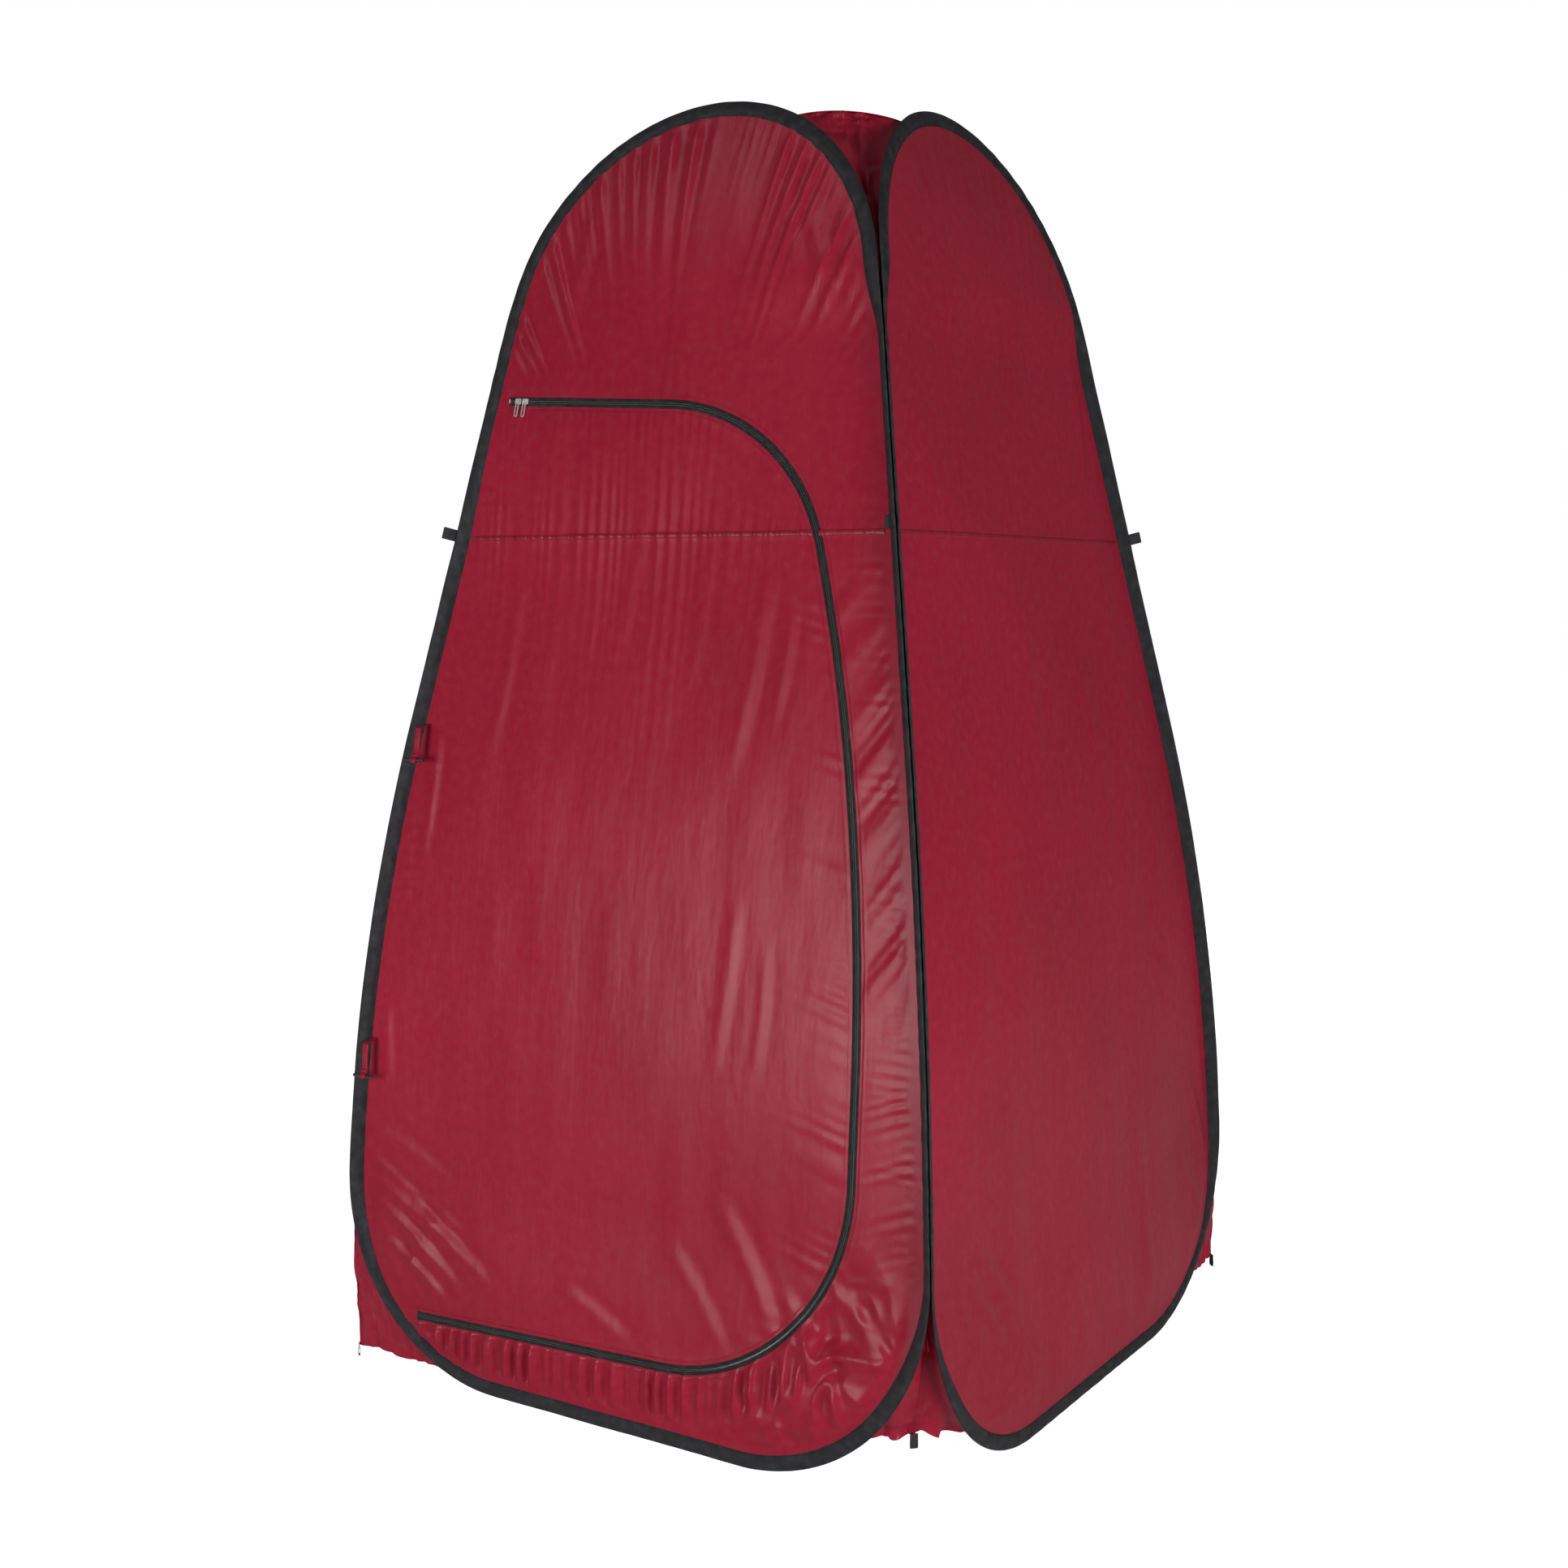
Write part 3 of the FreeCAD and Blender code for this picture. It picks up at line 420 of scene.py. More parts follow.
# Folds by where they are: spacing, how far they reach from their edge, height, and seed.
FRONT_FOLDS = {
    "below zip": dict(pitch=0.018, reach=0.050, height=0.0012, seed=50),
    "above zip": dict(pitch=0.023, reach=0.035, height=0.0007, seed=55),
    "slanting": dict(pitch=0.074, reach=1.0, height=0.0030, seed=60),
    "slanting from sleeve": dict(pitch=0.024, reach=0.06, height=0.0016, seed=62),
    "low beside zip": dict(pitch=0.019, reach=0.05, height=0.0016, seed=65),
    "door's edge": dict(pitch=0.028, reach=0.05, height=0.0013, seed=68),
    "under door": dict(pitch=0.030, reach=1.0, height=0.0085, seed=70),
    "under door, fine": dict(pitch=0.014, reach=1.0, height=0.0024, seed=72),
}
ARCH_FOLDS = dict(pitch=0.036, reach=0.15)
ARCH_FINE_FOLDS = dict(pitch=0.017, reach=0.08)
ARCH_FOLD_START = 1.66         # the arch's folds fade out below this height
SEAM_PITCH, SEAM_FINE_PITCH = 0.024, 0.009
SEAM_REACH_UP, SEAM_REACH_DOWN, SEAM_FINE_REACH = 0.080, 0.130, 0.014
SLEEVE_PUCKERS = dict(pitch=0.020, reach=0.030)
LEFT_EDGE_START = 3.1          # so that the puckers of both edges differ
FOLD_LIMIT = {"front": 0.014, "side": 0.012}   # no fold is higher than this
HELD_BY_SLEEVE = 0.08          # share of a fold left where the cloth enters its sleeve
RIDGE_FROM_ZIP = 0.0135        # stitched ridge on both sides of the zip


def top_folds(x, z, seed, height=0.0062):
    """Folds that hang from the arch: their lines run to the arch's centre."""
    edge = edge_distance(x, z)
    run = np.arctan2(x, np.maximum(z - ARCH_CENTRE_Z + 0.45, 0.05)) * 0.72
    wide = folds(run, edge, height=height, seed=seed, **ARCH_FOLDS)
    fine = folds(run, edge, height=0.40 * height, seed=seed + 11, **ARCH_FINE_FOLDS)
    return rising(z, ARCH_FOLD_START, 0.14) * (wide + fine)


def seam_folds(x, z, seed, height=0.0012):
    """Puckers of the level seam, short above it and longer below, with a low lap at the seam."""
    away = z - SEAM_HEIGHT
    up = folds(x, np.abs(away), SEAM_PITCH, SEAM_REACH_UP, height, seed)
    down = folds(x, np.abs(away), SEAM_PITCH, SEAM_REACH_DOWN, height * 0.75, seed)
    fine = folds(x, np.abs(away), SEAM_FINE_PITCH, SEAM_FINE_REACH, height * 0.4, seed + 9)
    lap = 0.0010 * np.exp(-((away + 0.004) / 0.0040) ** 2)
    groove = 0.0008 * np.exp(-((away + 0.0005) / 0.0012) ** 2)
    above = smooth(away / 0.01 + 0.5)
    return up * above + down * (1 - above) + fine + (lap - groove)


def sleeve_folds(x, z, seed, height=0.0009):
    """Small puckers where the wall is sewn to its sleeve."""
    side = np.where(x > 0, LEFT_EDGE_START, 0.0)
    return folds(z + side, edge_distance(x, z), height=height, seed=seed, **SLEEVE_PUCKERS)


def zip_folds(x, z, out, edge):
    """Puckers along the zip: above and below its top run, beside it and under the door."""
    at = FRONT_FOLDS
    top_run = rising(z, 1.45, 0.12)
    total = top_run * folds(x, np.maximum(-out, 0), **at["below zip"]) * (out < 0)
    total = total + top_run * folds(x, np.maximum(out, 0), **at["above zip"]) * (out >= 0)
    beside = rising(x, 0.15, 0.1) * smooth(out / 0.012) * smooth(edge / 0.012)
    slant = z * 0.62 - x * 0.78
    streaks = (folds(slant, 0 * x, **at["slanting"])
               + folds(slant, edge, **at["slanting from sleeve"]))
    streaks = streaks * rising(z, 0.62, 0.22) * falling(z, 1.40, 0.15)
    low = folds(z * 0.93 - x * 0.36, edge, **at["low beside zip"]) * falling(z, 0.78, 0.2)
    total = total + beside * (streaks + low)
    inside = smooth(-out / 0.02)
    edge_folds = folds(z * 0.96 + x * 0.25, -out, **at["door's edge"])
    total = total + inside * edge_folds * rising(x, 0.2, 0.15)
    band = np.sin(math.pi * np.clip(out / 0.085, 0, 1)) ** 0.5
    under = falling(z, 0.20, 0.05) * smooth(out / 0.006) * band
    hanging = folds(x, 0 * x, **at["under door"]) + folds(x, 0 * x, **at["under door, fine"])
    return total + under * hanging


def foot_crumples(x, z, out, edge):
    """Crumpled cloth at the two bottom corners of the door face."""
    right = hill(x, z, (0.42, 0.15), (0.17, 0.17)) * smooth(edge / 0.025) * smooth(out / 0.01)
    left = hill(x, z, (-0.45, 0.24), (0.16, 0.10)) * smooth(edge / 0.03)
    return (right * crumple(x * 1.15 + z * 0.45, z - 0.4 * x, 0.082, 0.0125, 80)
            + left * crumple(x * 0.5 + z * 0.9, (z - x) * 0.8, 0.150, 0.0050, 90))


def front_offset(x, z):
    """Height of the door face's cloth off its smooth curve."""
    edge = edge_distance(x, z)
    out = beyond_zip(x, z)
    total = 0.0040 * patchy(x, z, 0.33, 3) * smooth(edge / 0.16)
    total = total + 0.0011 * patchy(x * 2.2, z * 0.55, 0.11, 4) * smooth(edge / 0.08)
    total = total + top_folds(x, z, 20) + seam_folds(x, z, 30) + sleeve_folds(x, z, 40)
    total = total + zip_folds(x, z, out, edge) + foot_crumples(x, z, out, edge)
    for start, end, width, height in FRONT_CREASES:
        total = total + crease(x, z, start, end, width, height) * smooth(edge / 0.02)
    stitched = np.abs(out) - RIDGE_FROM_ZIP
    total = total + 0.0007 * np.exp(-(stitched / 0.0022) ** 2)
    total = total - 0.0006 * np.exp(-((stitched + 0.0028) / 0.0012) ** 2)
    calm = smooth(np.abs(out) / 0.030)
    slider_run = falling(x, -0.02, 0.05) * rising(z, 1.60, 0.03)
    total = total * (1 - 0.55 * (1 - calm)) * (1 - slider_run * (1 - smooth(np.abs(out) / 0.02)))
    return held_by_sleeves(total, edge, FOLD_LIMIT["front"]) + dish(x, z, 0)


def held_by_sleeves(total, edge, limit):
    """Folds cut off at a limit and pressed nearly flat where the cloth enters its sleeves."""
    share = HELD_BY_SLEEVE + (1 - HELD_BY_SLEEVE) * smooth(edge / 0.024)
    return np.clip(total, -limit, limit) * share


# Long folds of the door face: start, end, half width and height.
FRONT_CREASES = [
    ((-0.545, 0.335), (-0.225, 0.165), 0.011, 0.0085),
    ((-0.530, 0.300), (-0.300, 0.150), 0.008, 0.0060),
    ((-0.560, 0.420), (-0.330, 0.330), 0.011, 0.0040),
    ((-0.500, 0.235), (-0.330, 0.128), 0.007, 0.0060),
    ((-0.556, 0.375), (-0.350, 0.245), 0.007, 0.0050),
    ((-0.470, 0.330), (-0.290, 0.240), 0.006, 0.0040),
    ((-0.120, 0.215), (0.060, 0.130), 0.012, 0.0035),
    ((0.180, 0.420), (0.330, 0.160), 0.014, 0.0045),
    ((0.090, 0.330), (0.240, 0.130), 0.012, 0.0030),
    ((-0.290, 1.400), (-0.330, 1.020), 0.011, 0.0028),
    ((0.205, 1.390), (0.160, 1.030), 0.012, 0.0036),
    ((0.255, 1.330), (0.235, 1.120), 0.009, 0.0030),
    ((-0.060, 1.420), (-0.080, 1.200), 0.012, 0.0018),
    ((0.080, 1.410), (0.070, 1.160), 0.011, 0.0020),
    ((0.200, 0.900), (0.165, 0.560), 0.012, 0.0028),
    ((0.260, 0.820), (0.245, 0.560), 0.010, 0.0026),
    ((-0.440, 1.120), (-0.455, 0.860), 0.009, 0.0030),
    ((-0.515, 0.640), (-0.505, 0.470), 0.009, 0.0025),
    ((0.300, 0.300), (0.470, 0.060), 0.013, 0.0060),
    ((0.380, 0.330), (0.530, 0.170), 0.011, 0.0050),
    ((0.220, 0.075), (0.400, 0.085), 0.010, 0.0035),
    ((-0.210, 2.010), (-0.235, 1.760), 0.012, 0.0030),
    ((0.215, 1.960), (0.285, 1.700), 0.012, 0.0040),
    ((0.160, 2.000), (0.225, 1.760), 0.010, 0.0030),
]
SIDE_CREASES = [
    ((-0.420, 0.360), (-0.270, 0.180), 0.016, 0.0040),
    ((-0.440, 0.310), (-0.330, 0.160), 0.012, 0.0035),
    ((-0.400, 0.430), (-0.180, 0.300), 0.020, 0.0030),
    ((0.440, 0.470), (0.540, 0.240), 0.016, 0.0045),
    ((0.400, 0.300), (0.500, 0.150), 0.014, 0.0035),
    ((0.300, 0.700), (0.420, 0.600), 0.014, 0.0022),
    ((-0.340, 0.760), (-0.230, 0.640), 0.015, 0.0022),
    ((0.330, 1.760), (0.290, 1.480), 0.014, 0.0030),
    ((-0.030, 1.330), (-0.060, 0.900), 0.022, 0.0020),
    ((0.170, 1.300), (0.190, 0.800), 0.024, 0.0020),
    ((0.260, 1.060), (0.300, 0.820), 0.012, 0.0022),
]


def side_offset(turns, seed, flip=1):
    """Height of a plain face's cloth off its smooth curve, as a function of (x, z)."""
    def offset(x, z):
        edge = edge_distance(x, z)
        total = 0.0035 * patchy(x, z, 0.36, seed) * smooth(edge / 0.16)
        total = total + 0.0018 * patchy(x * 2.0, z * 0.35, 0.15, seed + 1) * smooth(edge / 0.08)
        total = total + top_folds(x, z, seed + 20, 0.0007) + seam_folds(x, z, seed + 30, 0.0005)
        total = total + sleeve_folds(x, z, seed + 40, 0.0008)
        low = falling(z, 0.30, 0.2) * smooth(edge / 0.03)
        total = total + low * crumple(x, z, 0.16, 0.0022, seed + 50)
        for start, end, width, height in SIDE_CREASES:
            total = total + crease(x * flip, z, start, end, width, height) * smooth(edge / 0.02)
        return held_by_sleeves(total, edge, FOLD_LIMIT["side"]) + dish(x, z, turns)
    return offset


FACE_OFFSETS = [front_offset, side_offset(1, 200), side_offset(2, 300, -1), side_offset(3, 400)]


# ---- mesh making ----------------------------------------------------------------------------
def mesh_piece(name, points, faces, uv=None, material=None, shade_smooth=True):
    """Object at the origin from vertex places, faces of equal size, and a place on the cloth."""
    points, faces = np.asarray(points, float).reshape(-1, 3), np.asarray(faces, int)
    mesh = bpy.data.meshes.new(name)
    mesh.vertices.add(len(points))
    mesh.vertices.foreach_set("co", points.astype(np.float32).ravel())
    mesh.loops.add(faces.size)
    mesh.loops.foreach_set("vertex_index", faces.astype(np.int32).ravel())
    mesh.polygons.add(len(faces))
    mesh.polygons.foreach_set("loop_start", np.arange(len(faces), dtype=np.int32) * faces.shape[1])
    mesh.update(calc_edges=True)
    if uv is not None:
        layer = mesh.uv_layers.new(name="cloth")
        flat = np.asarray(uv, np.float32).reshape(-1, 2)
        layer.data.foreach_set("uv", flat[faces.ravel()].ravel())
    if shade_smooth:
        mesh.polygons.foreach_set("use_smooth", np.ones(len(faces), bool))
    piece = bpy.data.objects.new(name, mesh)
    bpy.context.scene.collection.objects.link(piece)
    if material:
        mesh.materials.append(material)
    return piece


def grid_faces(rows, columns, close_rows=False, close_columns=False):
    """Quads of a grid, with the far row or column joined to the first if it is closed."""
    i = np.arange(rows if close_rows else rows - 1)[:, None]
    j = np.arange(columns if close_columns else columns - 1)[None]
    a, b = i * columns + j, ((i + 1) % rows) * columns + j
    c = ((i + 1) % rows) * columns + (j + 1) % columns
    d = i * columns + (j + 1) % columns
    return np.stack([a, b, c, d], -1).reshape(-1, 4)


def outwards(piece):
    """Merges a closed piece's doubled points and turns its faces outwards."""
    shell = bmesh.new()
    shell.from_mesh(piece.data)
    bmesh.ops.remove_doubles(shell, verts=shell.verts, dist=1e-6)
    bmesh.ops.recalc_face_normals(shell, faces=shell.faces)
    shell.to_mesh(piece.data)
    shell.free()
    return piece


def grid_area(points):
    """Area of a grid of points, from the diagonals of its cells."""
    one = points[1:, 1:] - points[:-1, :-1]
    two = points[1:, :-1] - points[:-1, 1:]
    return float(np.linalg.norm(np.cross(one, two), axis=-1).sum() / 2)


def declare_cloth(smooth_places):
    """Works out a piece's longest row, its longest column and its own area; nothing is done with them."""
    rows = np.linalg.norm(np.diff(smooth_places, axis=0), axis=-1).sum(0).max()
    columns = np.linalg.norm(np.diff(smooth_places, axis=1), axis=-1).sum(1).max()
    area = grid_area(smooth_places)
    rows = min(rows, area / columns / 0.32)


def thicken(piece, thickness=CLOTH):
    """Gives a cloth its thickness, half to each side, with its cut edges kept crisp."""
    mesh = piece.data
    edge_of_corner = np.empty(len(mesh.loops), np.int32)
    mesh.loops.foreach_get("edge_index", edge_of_corner)
    cut = np.bincount(edge_of_corner, minlength=len(mesh.edges)) == 1
    mesh.attributes.new("sharp_edge", "BOOLEAN", "EDGE").data.foreach_set("value", cut)
    solid = piece.modifiers.new("thickness", "SOLIDIFY")
    solid.thickness = thickness
    solid.offset = 0
    return piece


def height_along(z):
    """Length up the face's curve from the ground to z."""
    table = np.linspace(-0.05, 2.2, 900)
    run = np.cumsum(np.concatenate([[0], np.hypot(np.diff(table), np.diff(side_curve(table)))]))
    return np.interp(z, table, run)


def cloth_uv(x, z):
    return np.stack([np.asarray(x), height_along(z)], -1)


def coons(bottom, top, left, right):
    """Flat patch between four curves: the two ruled surfaces less the corners' bilinear one."""
    u = np.linspace(0, 1, len(bottom))[:, None, None]
    v = np.linspace(0, 1, len(left))[None, :, None]
    ruled = (1 - v) * bottom[:, None] + v * top[:, None] + (1 - u) * left[None] + u * right[None]
    corners = ((1 - u) * (1 - v) * bottom[0] + u * (1 - v) * bottom[-1]
               + (1 - u) * v * top[0] + u * v * top[-1])
    return ruled - corners


# ---- finishes -------------------------------------------------------------------------------
def new_group(name, inputs, outputs):
    """Shader node group with named number, vector or colour sockets; returns it and its ends."""
    group = bpy.data.node_groups.new(name, "ShaderNodeTree")
    kinds = {"v": "NodeSocketFloat", "p": "NodeSocketVector", "c": "NodeSocketColor"}
    for label, kind, value in inputs:
        socket = group.interface.new_socket(name=label, in_out="INPUT", socket_type=kinds[kind])
        if value is not None:
            socket.default_value = value
    for label, kind in outputs:
        group.interface.new_socket(name=label, in_out="OUTPUT", socket_type=kinds[kind])
    return group, group.nodes.new("NodeGroupInput"), group.nodes.new("NodeGroupOutput")


def math_node(tree, operation, a, b=None, c=None, clamp=False):
    node = tree.nodes.new("ShaderNodeMath")
    node.operation = operation
    node.use_clamp = clamp
    for socket, value in zip(node.inputs, (a, b, c)):
        if value is None:
            continue
        if isinstance(value, (int, float)):
            socket.default_value = value
        else:
            tree.links.new(value, socket)
    return node.outputs[0]


def noise_node(tree, vector, scale, detail=3.0, roughness=0.55):
    node = tree.nodes.new("ShaderNodeTexNoise")
    node.inputs["Scale"].default_value = scale
    node.inputs["Detail"].default_value = detail
    node.inputs["Roughness"].default_value = roughness
    tree.links.new(vector, node.inputs["Vector"])
    return node.outputs["Fac"]


def stretched(tree, vector, scale, turn_z=0.0):
    node = tree.nodes.new("ShaderNodeMapping")
    node.inputs["Scale"].default_value = scale
    node.inputs["Rotation"].default_value = (0, 0, turn_z)
    tree.links.new(vector, node.inputs["Vector"])
    return node.outputs["Vector"]


def weave_group():
    """Plain weave: crossed threads, each a sine along its own direction, as a height and a mask.

    Height is the larger of the two threads' sines.  Ripstop is a faint grid of thicker threads.
    """
    group, start, end = new_group("weave", [("Place", "p", None), ("Threads", "v", 900.0),
                                            ("Grid", "v", 200.0)],
                                  [("Height", "v"), ("Ripstop", "v")])
    split = group.nodes.new("ShaderNodeSeparateXYZ")
    group.links.new(start.outputs["Place"], split.inputs[0])
    sines = []
    for axis in (0, 1):
        turns_ = math_node(group, "MULTIPLY", split.outputs[axis], start.outputs["Threads"])
        sines.append(math_node(group, "SINE", math_node(group, "MULTIPLY", turns_, 2 * math.pi)))
    height = math_node(group, "MULTIPLY", sines[0], sines[1])
    lines = []
    for axis in (0, 1):
        cell = math_node(group, "FRACT",
                         math_node(group, "MULTIPLY", split.outputs[axis], start.outputs["Grid"]))
        middle = math_node(group, "ABSOLUTE", math_node(group, "SUBTRACT", cell, 0.5))
        lines.append(math_node(group, "GREATER_THAN", middle, 0.44))
    ripstop = math_node(group, "MAXIMUM", lines[0], lines[1])
    group.links.new(math_node(group, "MULTIPLY_ADD", height, 0.5, 0.5), end.inputs["Height"])
    group.links.new(ripstop, end.inputs["Ripstop"])
    return group


def shade_group():
    """Colour that drifts between two dyes with soft patches and dust, plus its mask."""
    group, start, end = new_group("dye", [("Place", "p", None), ("Dye", "c", None),
                                          ("Deep Dye", "c", None),
                                          ("Patch", "v", 3.0), ("Dust", "v", 0.1)],
                                  [("Color", "c"), ("Mask", "v")])
    noise = group.nodes.new("ShaderNodeTexNoise")
    group.links.new(start.outputs["Place"], noise.inputs["Vector"])
    group.links.new(start.outputs["Patch"], noise.inputs["Scale"])
    noise.inputs["Detail"].default_value = 4.0
    mask = math_node(group, "MULTIPLY_ADD", noise.outputs["Fac"], 2.2, -0.6, clamp=True)
    mix = group.nodes.new("ShaderNodeMix")
    mix.data_type = "RGBA"
    group.links.new(mask, mix.inputs["Factor"])
    group.links.new(start.outputs["Dye"], mix.inputs[6])
    group.links.new(start.outputs["Deep Dye"], mix.inputs[7])
    dust = group.nodes.new("ShaderNodeTexNoise")
    group.links.new(start.outputs["Place"], dust.inputs["Vector"])
    dust.inputs["Scale"].default_value = 60.0
    dust.inputs["Detail"].default_value = 6.0
    specks = math_node(group, "MULTIPLY", math_node(group, "POWER", dust.outputs["Fac"], 3.0),
                       start.outputs["Dust"])
    pale = group.nodes.new("ShaderNodeMix")
    pale.data_type = "RGBA"
    group.links.new(specks, pale.inputs["Factor"])
    group.links.new(mix.outputs[2], pale.inputs[6])
    pale.inputs[7].default_value = (0.55, 0.50, 0.48, 1)
    group.links.new(pale.outputs[2], end.inputs["Color"])
    group.links.new(mask, end.inputs["Mask"])
    return group


WEAVE = weave_group()
SHADE = shade_group()


def new_material(name, place="UV"):
    """Empty Principled material and the socket that gives places on the piece."""
    material = bpy.data.materials.new(name)
    material.use_nodes = True
    tree = material.node_tree
    shader = next(n for n in tree.nodes if n.type == "BSDF_PRINCIPLED")
    place_node = tree.nodes.new("ShaderNodeTexCoord")
    return material, tree, shader, place_node.outputs[place]


def group_node(tree, group, **values):
    node = tree.nodes.new("ShaderNodeGroup")
    node.node_tree = group
    for label, value in values.items():
        socket = node.inputs[label.replace("_", " ")]
        if isinstance(value, bpy.types.NodeSocket):
            tree.links.new(value, socket)
        else:
            socket.default_value = value
    return node


def bump(tree, shader, height, distance, strength=1.0, under=None):
    node = tree.nodes.new("ShaderNodeBump")
    node.inputs["Distance"].default_value = distance
    node.inputs["Strength"].default_value = strength
    tree.links.new(height, node.inputs["Height"])
    if under is not None:
        tree.links.new(under, node.inputs["Normal"])
    tree.links.new(node.outputs["Normal"], shader.inputs["Normal"])
    return node.outputs["Normal"]


def taffeta(name, dye, deep, threads=650.0, gloss=0.27, ripple=0.0012, patch=2.2):
    """Coated taffeta: drifting dye, a fine weave, small ripples up and down, a soft sheen."""
    material, tree, shader, place = new_material(name)
    colour = group_node(tree, SHADE, Place=place, Dye=dye, Deep_Dye=deep, Patch=patch, Dust=0.05)
    weave = group_node(tree, WEAVE, Place=place, Threads=threads, Grid=170.0)
    darken = tree.nodes.new("ShaderNodeMix")
    darken.data_type = "RGBA"
    darken.blend_type = "MULTIPLY"
    darken.inputs[7].default_value = (0.86, 0.84, 0.84, 1)
    tree.links.new(math_node(tree, "MULTIPLY", weave.outputs["Ripstop"], 0.45),
                   darken.inputs["Factor"])
    tree.links.new(colour.outputs["Color"], darken.inputs[6])
    tree.links.new(darken.outputs[2], shader.inputs["Base Color"])
    rough = math_node(tree, "MULTIPLY_ADD", noise_node(tree, place, 9.0), 0.14, gloss - 0.07)
    tree.links.new(math_node(tree, "MULTIPLY_ADD", weave.outputs["Height"], 0.05, rough),
                   shader.inputs["Roughness"])
    long_ripple = noise_node(tree, stretched(tree, place, (30.0, 7.0, 1.0)), 1.0, 2.0)
    fine_ripple = noise_node(tree, stretched(tree, place, (85.0, 34.0, 1.0)), 1.0, 2.0)
    ripples = math_node(tree, "MULTIPLY_ADD", fine_ripple, 0.22, long_ripple)
    first = bump(tree, shader, ripples, ripple)
    bump(tree, shader, weave.outputs["Height"], 0.00012, 0.5, first)
    shader.inputs["Specular IOR Level"].default_value = 0.15
    shader.inputs["Sheen Weight"].default_value = 0.01
    shader.inputs["Sheen Roughness"].default_value = 0.35
    shader.inputs["Sheen Tint"].default_value = (1.0, 0.55, 0.62, 1)
    return material


def woven(name, dye, deep, threads, gloss, height=0.0003, place="UV", sheen=0.02):
    """Coarser cloth such as sleeve, tape or webbing: dye, crossed threads and a dry surface."""
    material, tree, shader, spot = new_material(name, place)
    colour = group_node(tree, SHADE, Place=spot, Dye=dye, Deep_Dye=deep, Patch=14.0, Dust=0.12)
    weave = group_node(tree, WEAVE, Place=spot, Threads=threads, Grid=threads / 4)
    # Low places of the weave are darkened: painted shade in the hollows between the threads.
    mix = tree.nodes.new("ShaderNodeMix")
    mix.data_type = "RGBA"
    mix.blend_type = "MULTIPLY"
    mix.inputs[7].default_value = (0.62, 0.62, 0.64, 1)
    tree.links.new(math_node(tree, "MULTIPLY_ADD", weave.outputs["Height"], -0.5, 0.5),
                   mix.inputs["Factor"])
    tree.links.new(colour.outputs["Color"], mix.inputs[6])
    tree.links.new(mix.outputs[2], shader.inputs["Base Color"])
    tree.links.new(math_node(tree, "MULTIPLY_ADD", noise_node(tree, spot, 40.0), 0.2, gloss - 0.1),
                   shader.inputs["Roughness"])
    first = bump(tree, shader, noise_node(tree, spot, 70.0, 2.0), 0.0008, 0.6)
    bump(tree, shader, weave.outputs["Height"], height, 0.8, first)
    shader.inputs["Sheen Weight"].default_value = sheen
    shader.inputs["Specular IOR Level"].default_value = 0.22
    return material


def hard(name, dye, deep, gloss, metallic=0.0, scratch=160.0):
    """Metal or moulded plastic: slight colour drift, fine scratches in gloss and surface."""
    material, tree, shader, place = new_material(name, "Object")
    colour = group_node(tree, SHADE, Place=place, Dye=dye, Deep_Dye=deep, Patch=90.0, Dust=0.06)
    tree.links.new(colour.outputs["Color"], shader.inputs["Base Color"])
    marks = noise_node(tree, stretched(tree, place, (1.0, 1.0, 6.0)), scratch, 5.0)
    tree.links.new(math_node(tree, "MULTIPLY_ADD", marks, 0.25, gloss - 0.12),
                   shader.inputs["Roughness"])
    bump(tree, shader, marks, 0.0001, 0.5)
    shader.inputs["Metallic"].default_value = metallic
    return material


CRIMSON = (0.280, 0.0080, 0.028, 1)
DEEP_CRIMSON = (0.225, 0.0060, 0.021, 1)
TAFFETA = taffeta("crimson_taffeta", CRIMSON, DEEP_CRIMSON)
ROOF_TAFFETA = taffeta("crimson_taffeta_slack", CRIMSON, DEEP_CRIMSON, ripple=0.002)
# Seam lap cloth: the crimson dyed deeper, as painted shade along the seam's fold.
SEAM_SHADE_TAFFETA = taffeta("crimson_taffeta_seam_painted_shade", (0.225, 0.0065, 0.022, 1), (0.180, 0.0050, 0.017, 1))
# Thread dyed deeper than the cloth: partly its own colour, partly painted shade that darkens the stitched
# rows along the seams.
THREAD = woven("crimson_thread", (0.21, 0.008, 0.024, 1), (0.16, 0.006, 0.018, 1), 2500.0, 0.5)
SLEEVE_CLOTH = woven("charcoal_sleeve_cloth", (0.0100, 0.0105, 0.0140, 1),
                     (0.0065, 0.0068, 0.0090, 1), 900.0, 0.46)
ZIP_TAPE = woven("black_zip_tape", (0.0065, 0.0060, 0.0065, 1), (0.0045, 0.0042, 0.0045, 1), 1100.0,
                 0.60)
ZIP_COIL = hard("black_nylon_coil", (0.0080, 0.0078, 0.0085, 1), (0.0050, 0.0050, 0.0056, 1), 0.36)
NICKEL = hard("nickel_plate", (0.80, 0.79, 0.76, 1), (0.62, 0.61, 0.59, 1), 0.38, 0.75)
BLACK_PLASTIC = hard("black_moulded_plastic", (0.014, 0.014, 0.015, 1), (0.010, 0.010, 0.011, 1),
                     0.40)
WEBBING = woven("black_webbing", (0.018, 0.018, 0.020, 1), (0.011, 0.011, 0.012, 1), 450.0, 0.66,
                0.0005, "Object")
ELASTIC = woven("black_elastic", (0.016, 0.016, 0.018, 1), (0.012, 0.012, 0.013, 1), 700.0, 0.7,
                0.0004, "Object")
STEEL = hard("blued_spring_steel", (0.16, 0.17, 0.19, 1), (0.11, 0.11, 0.12, 1), 0.34, 1.0)


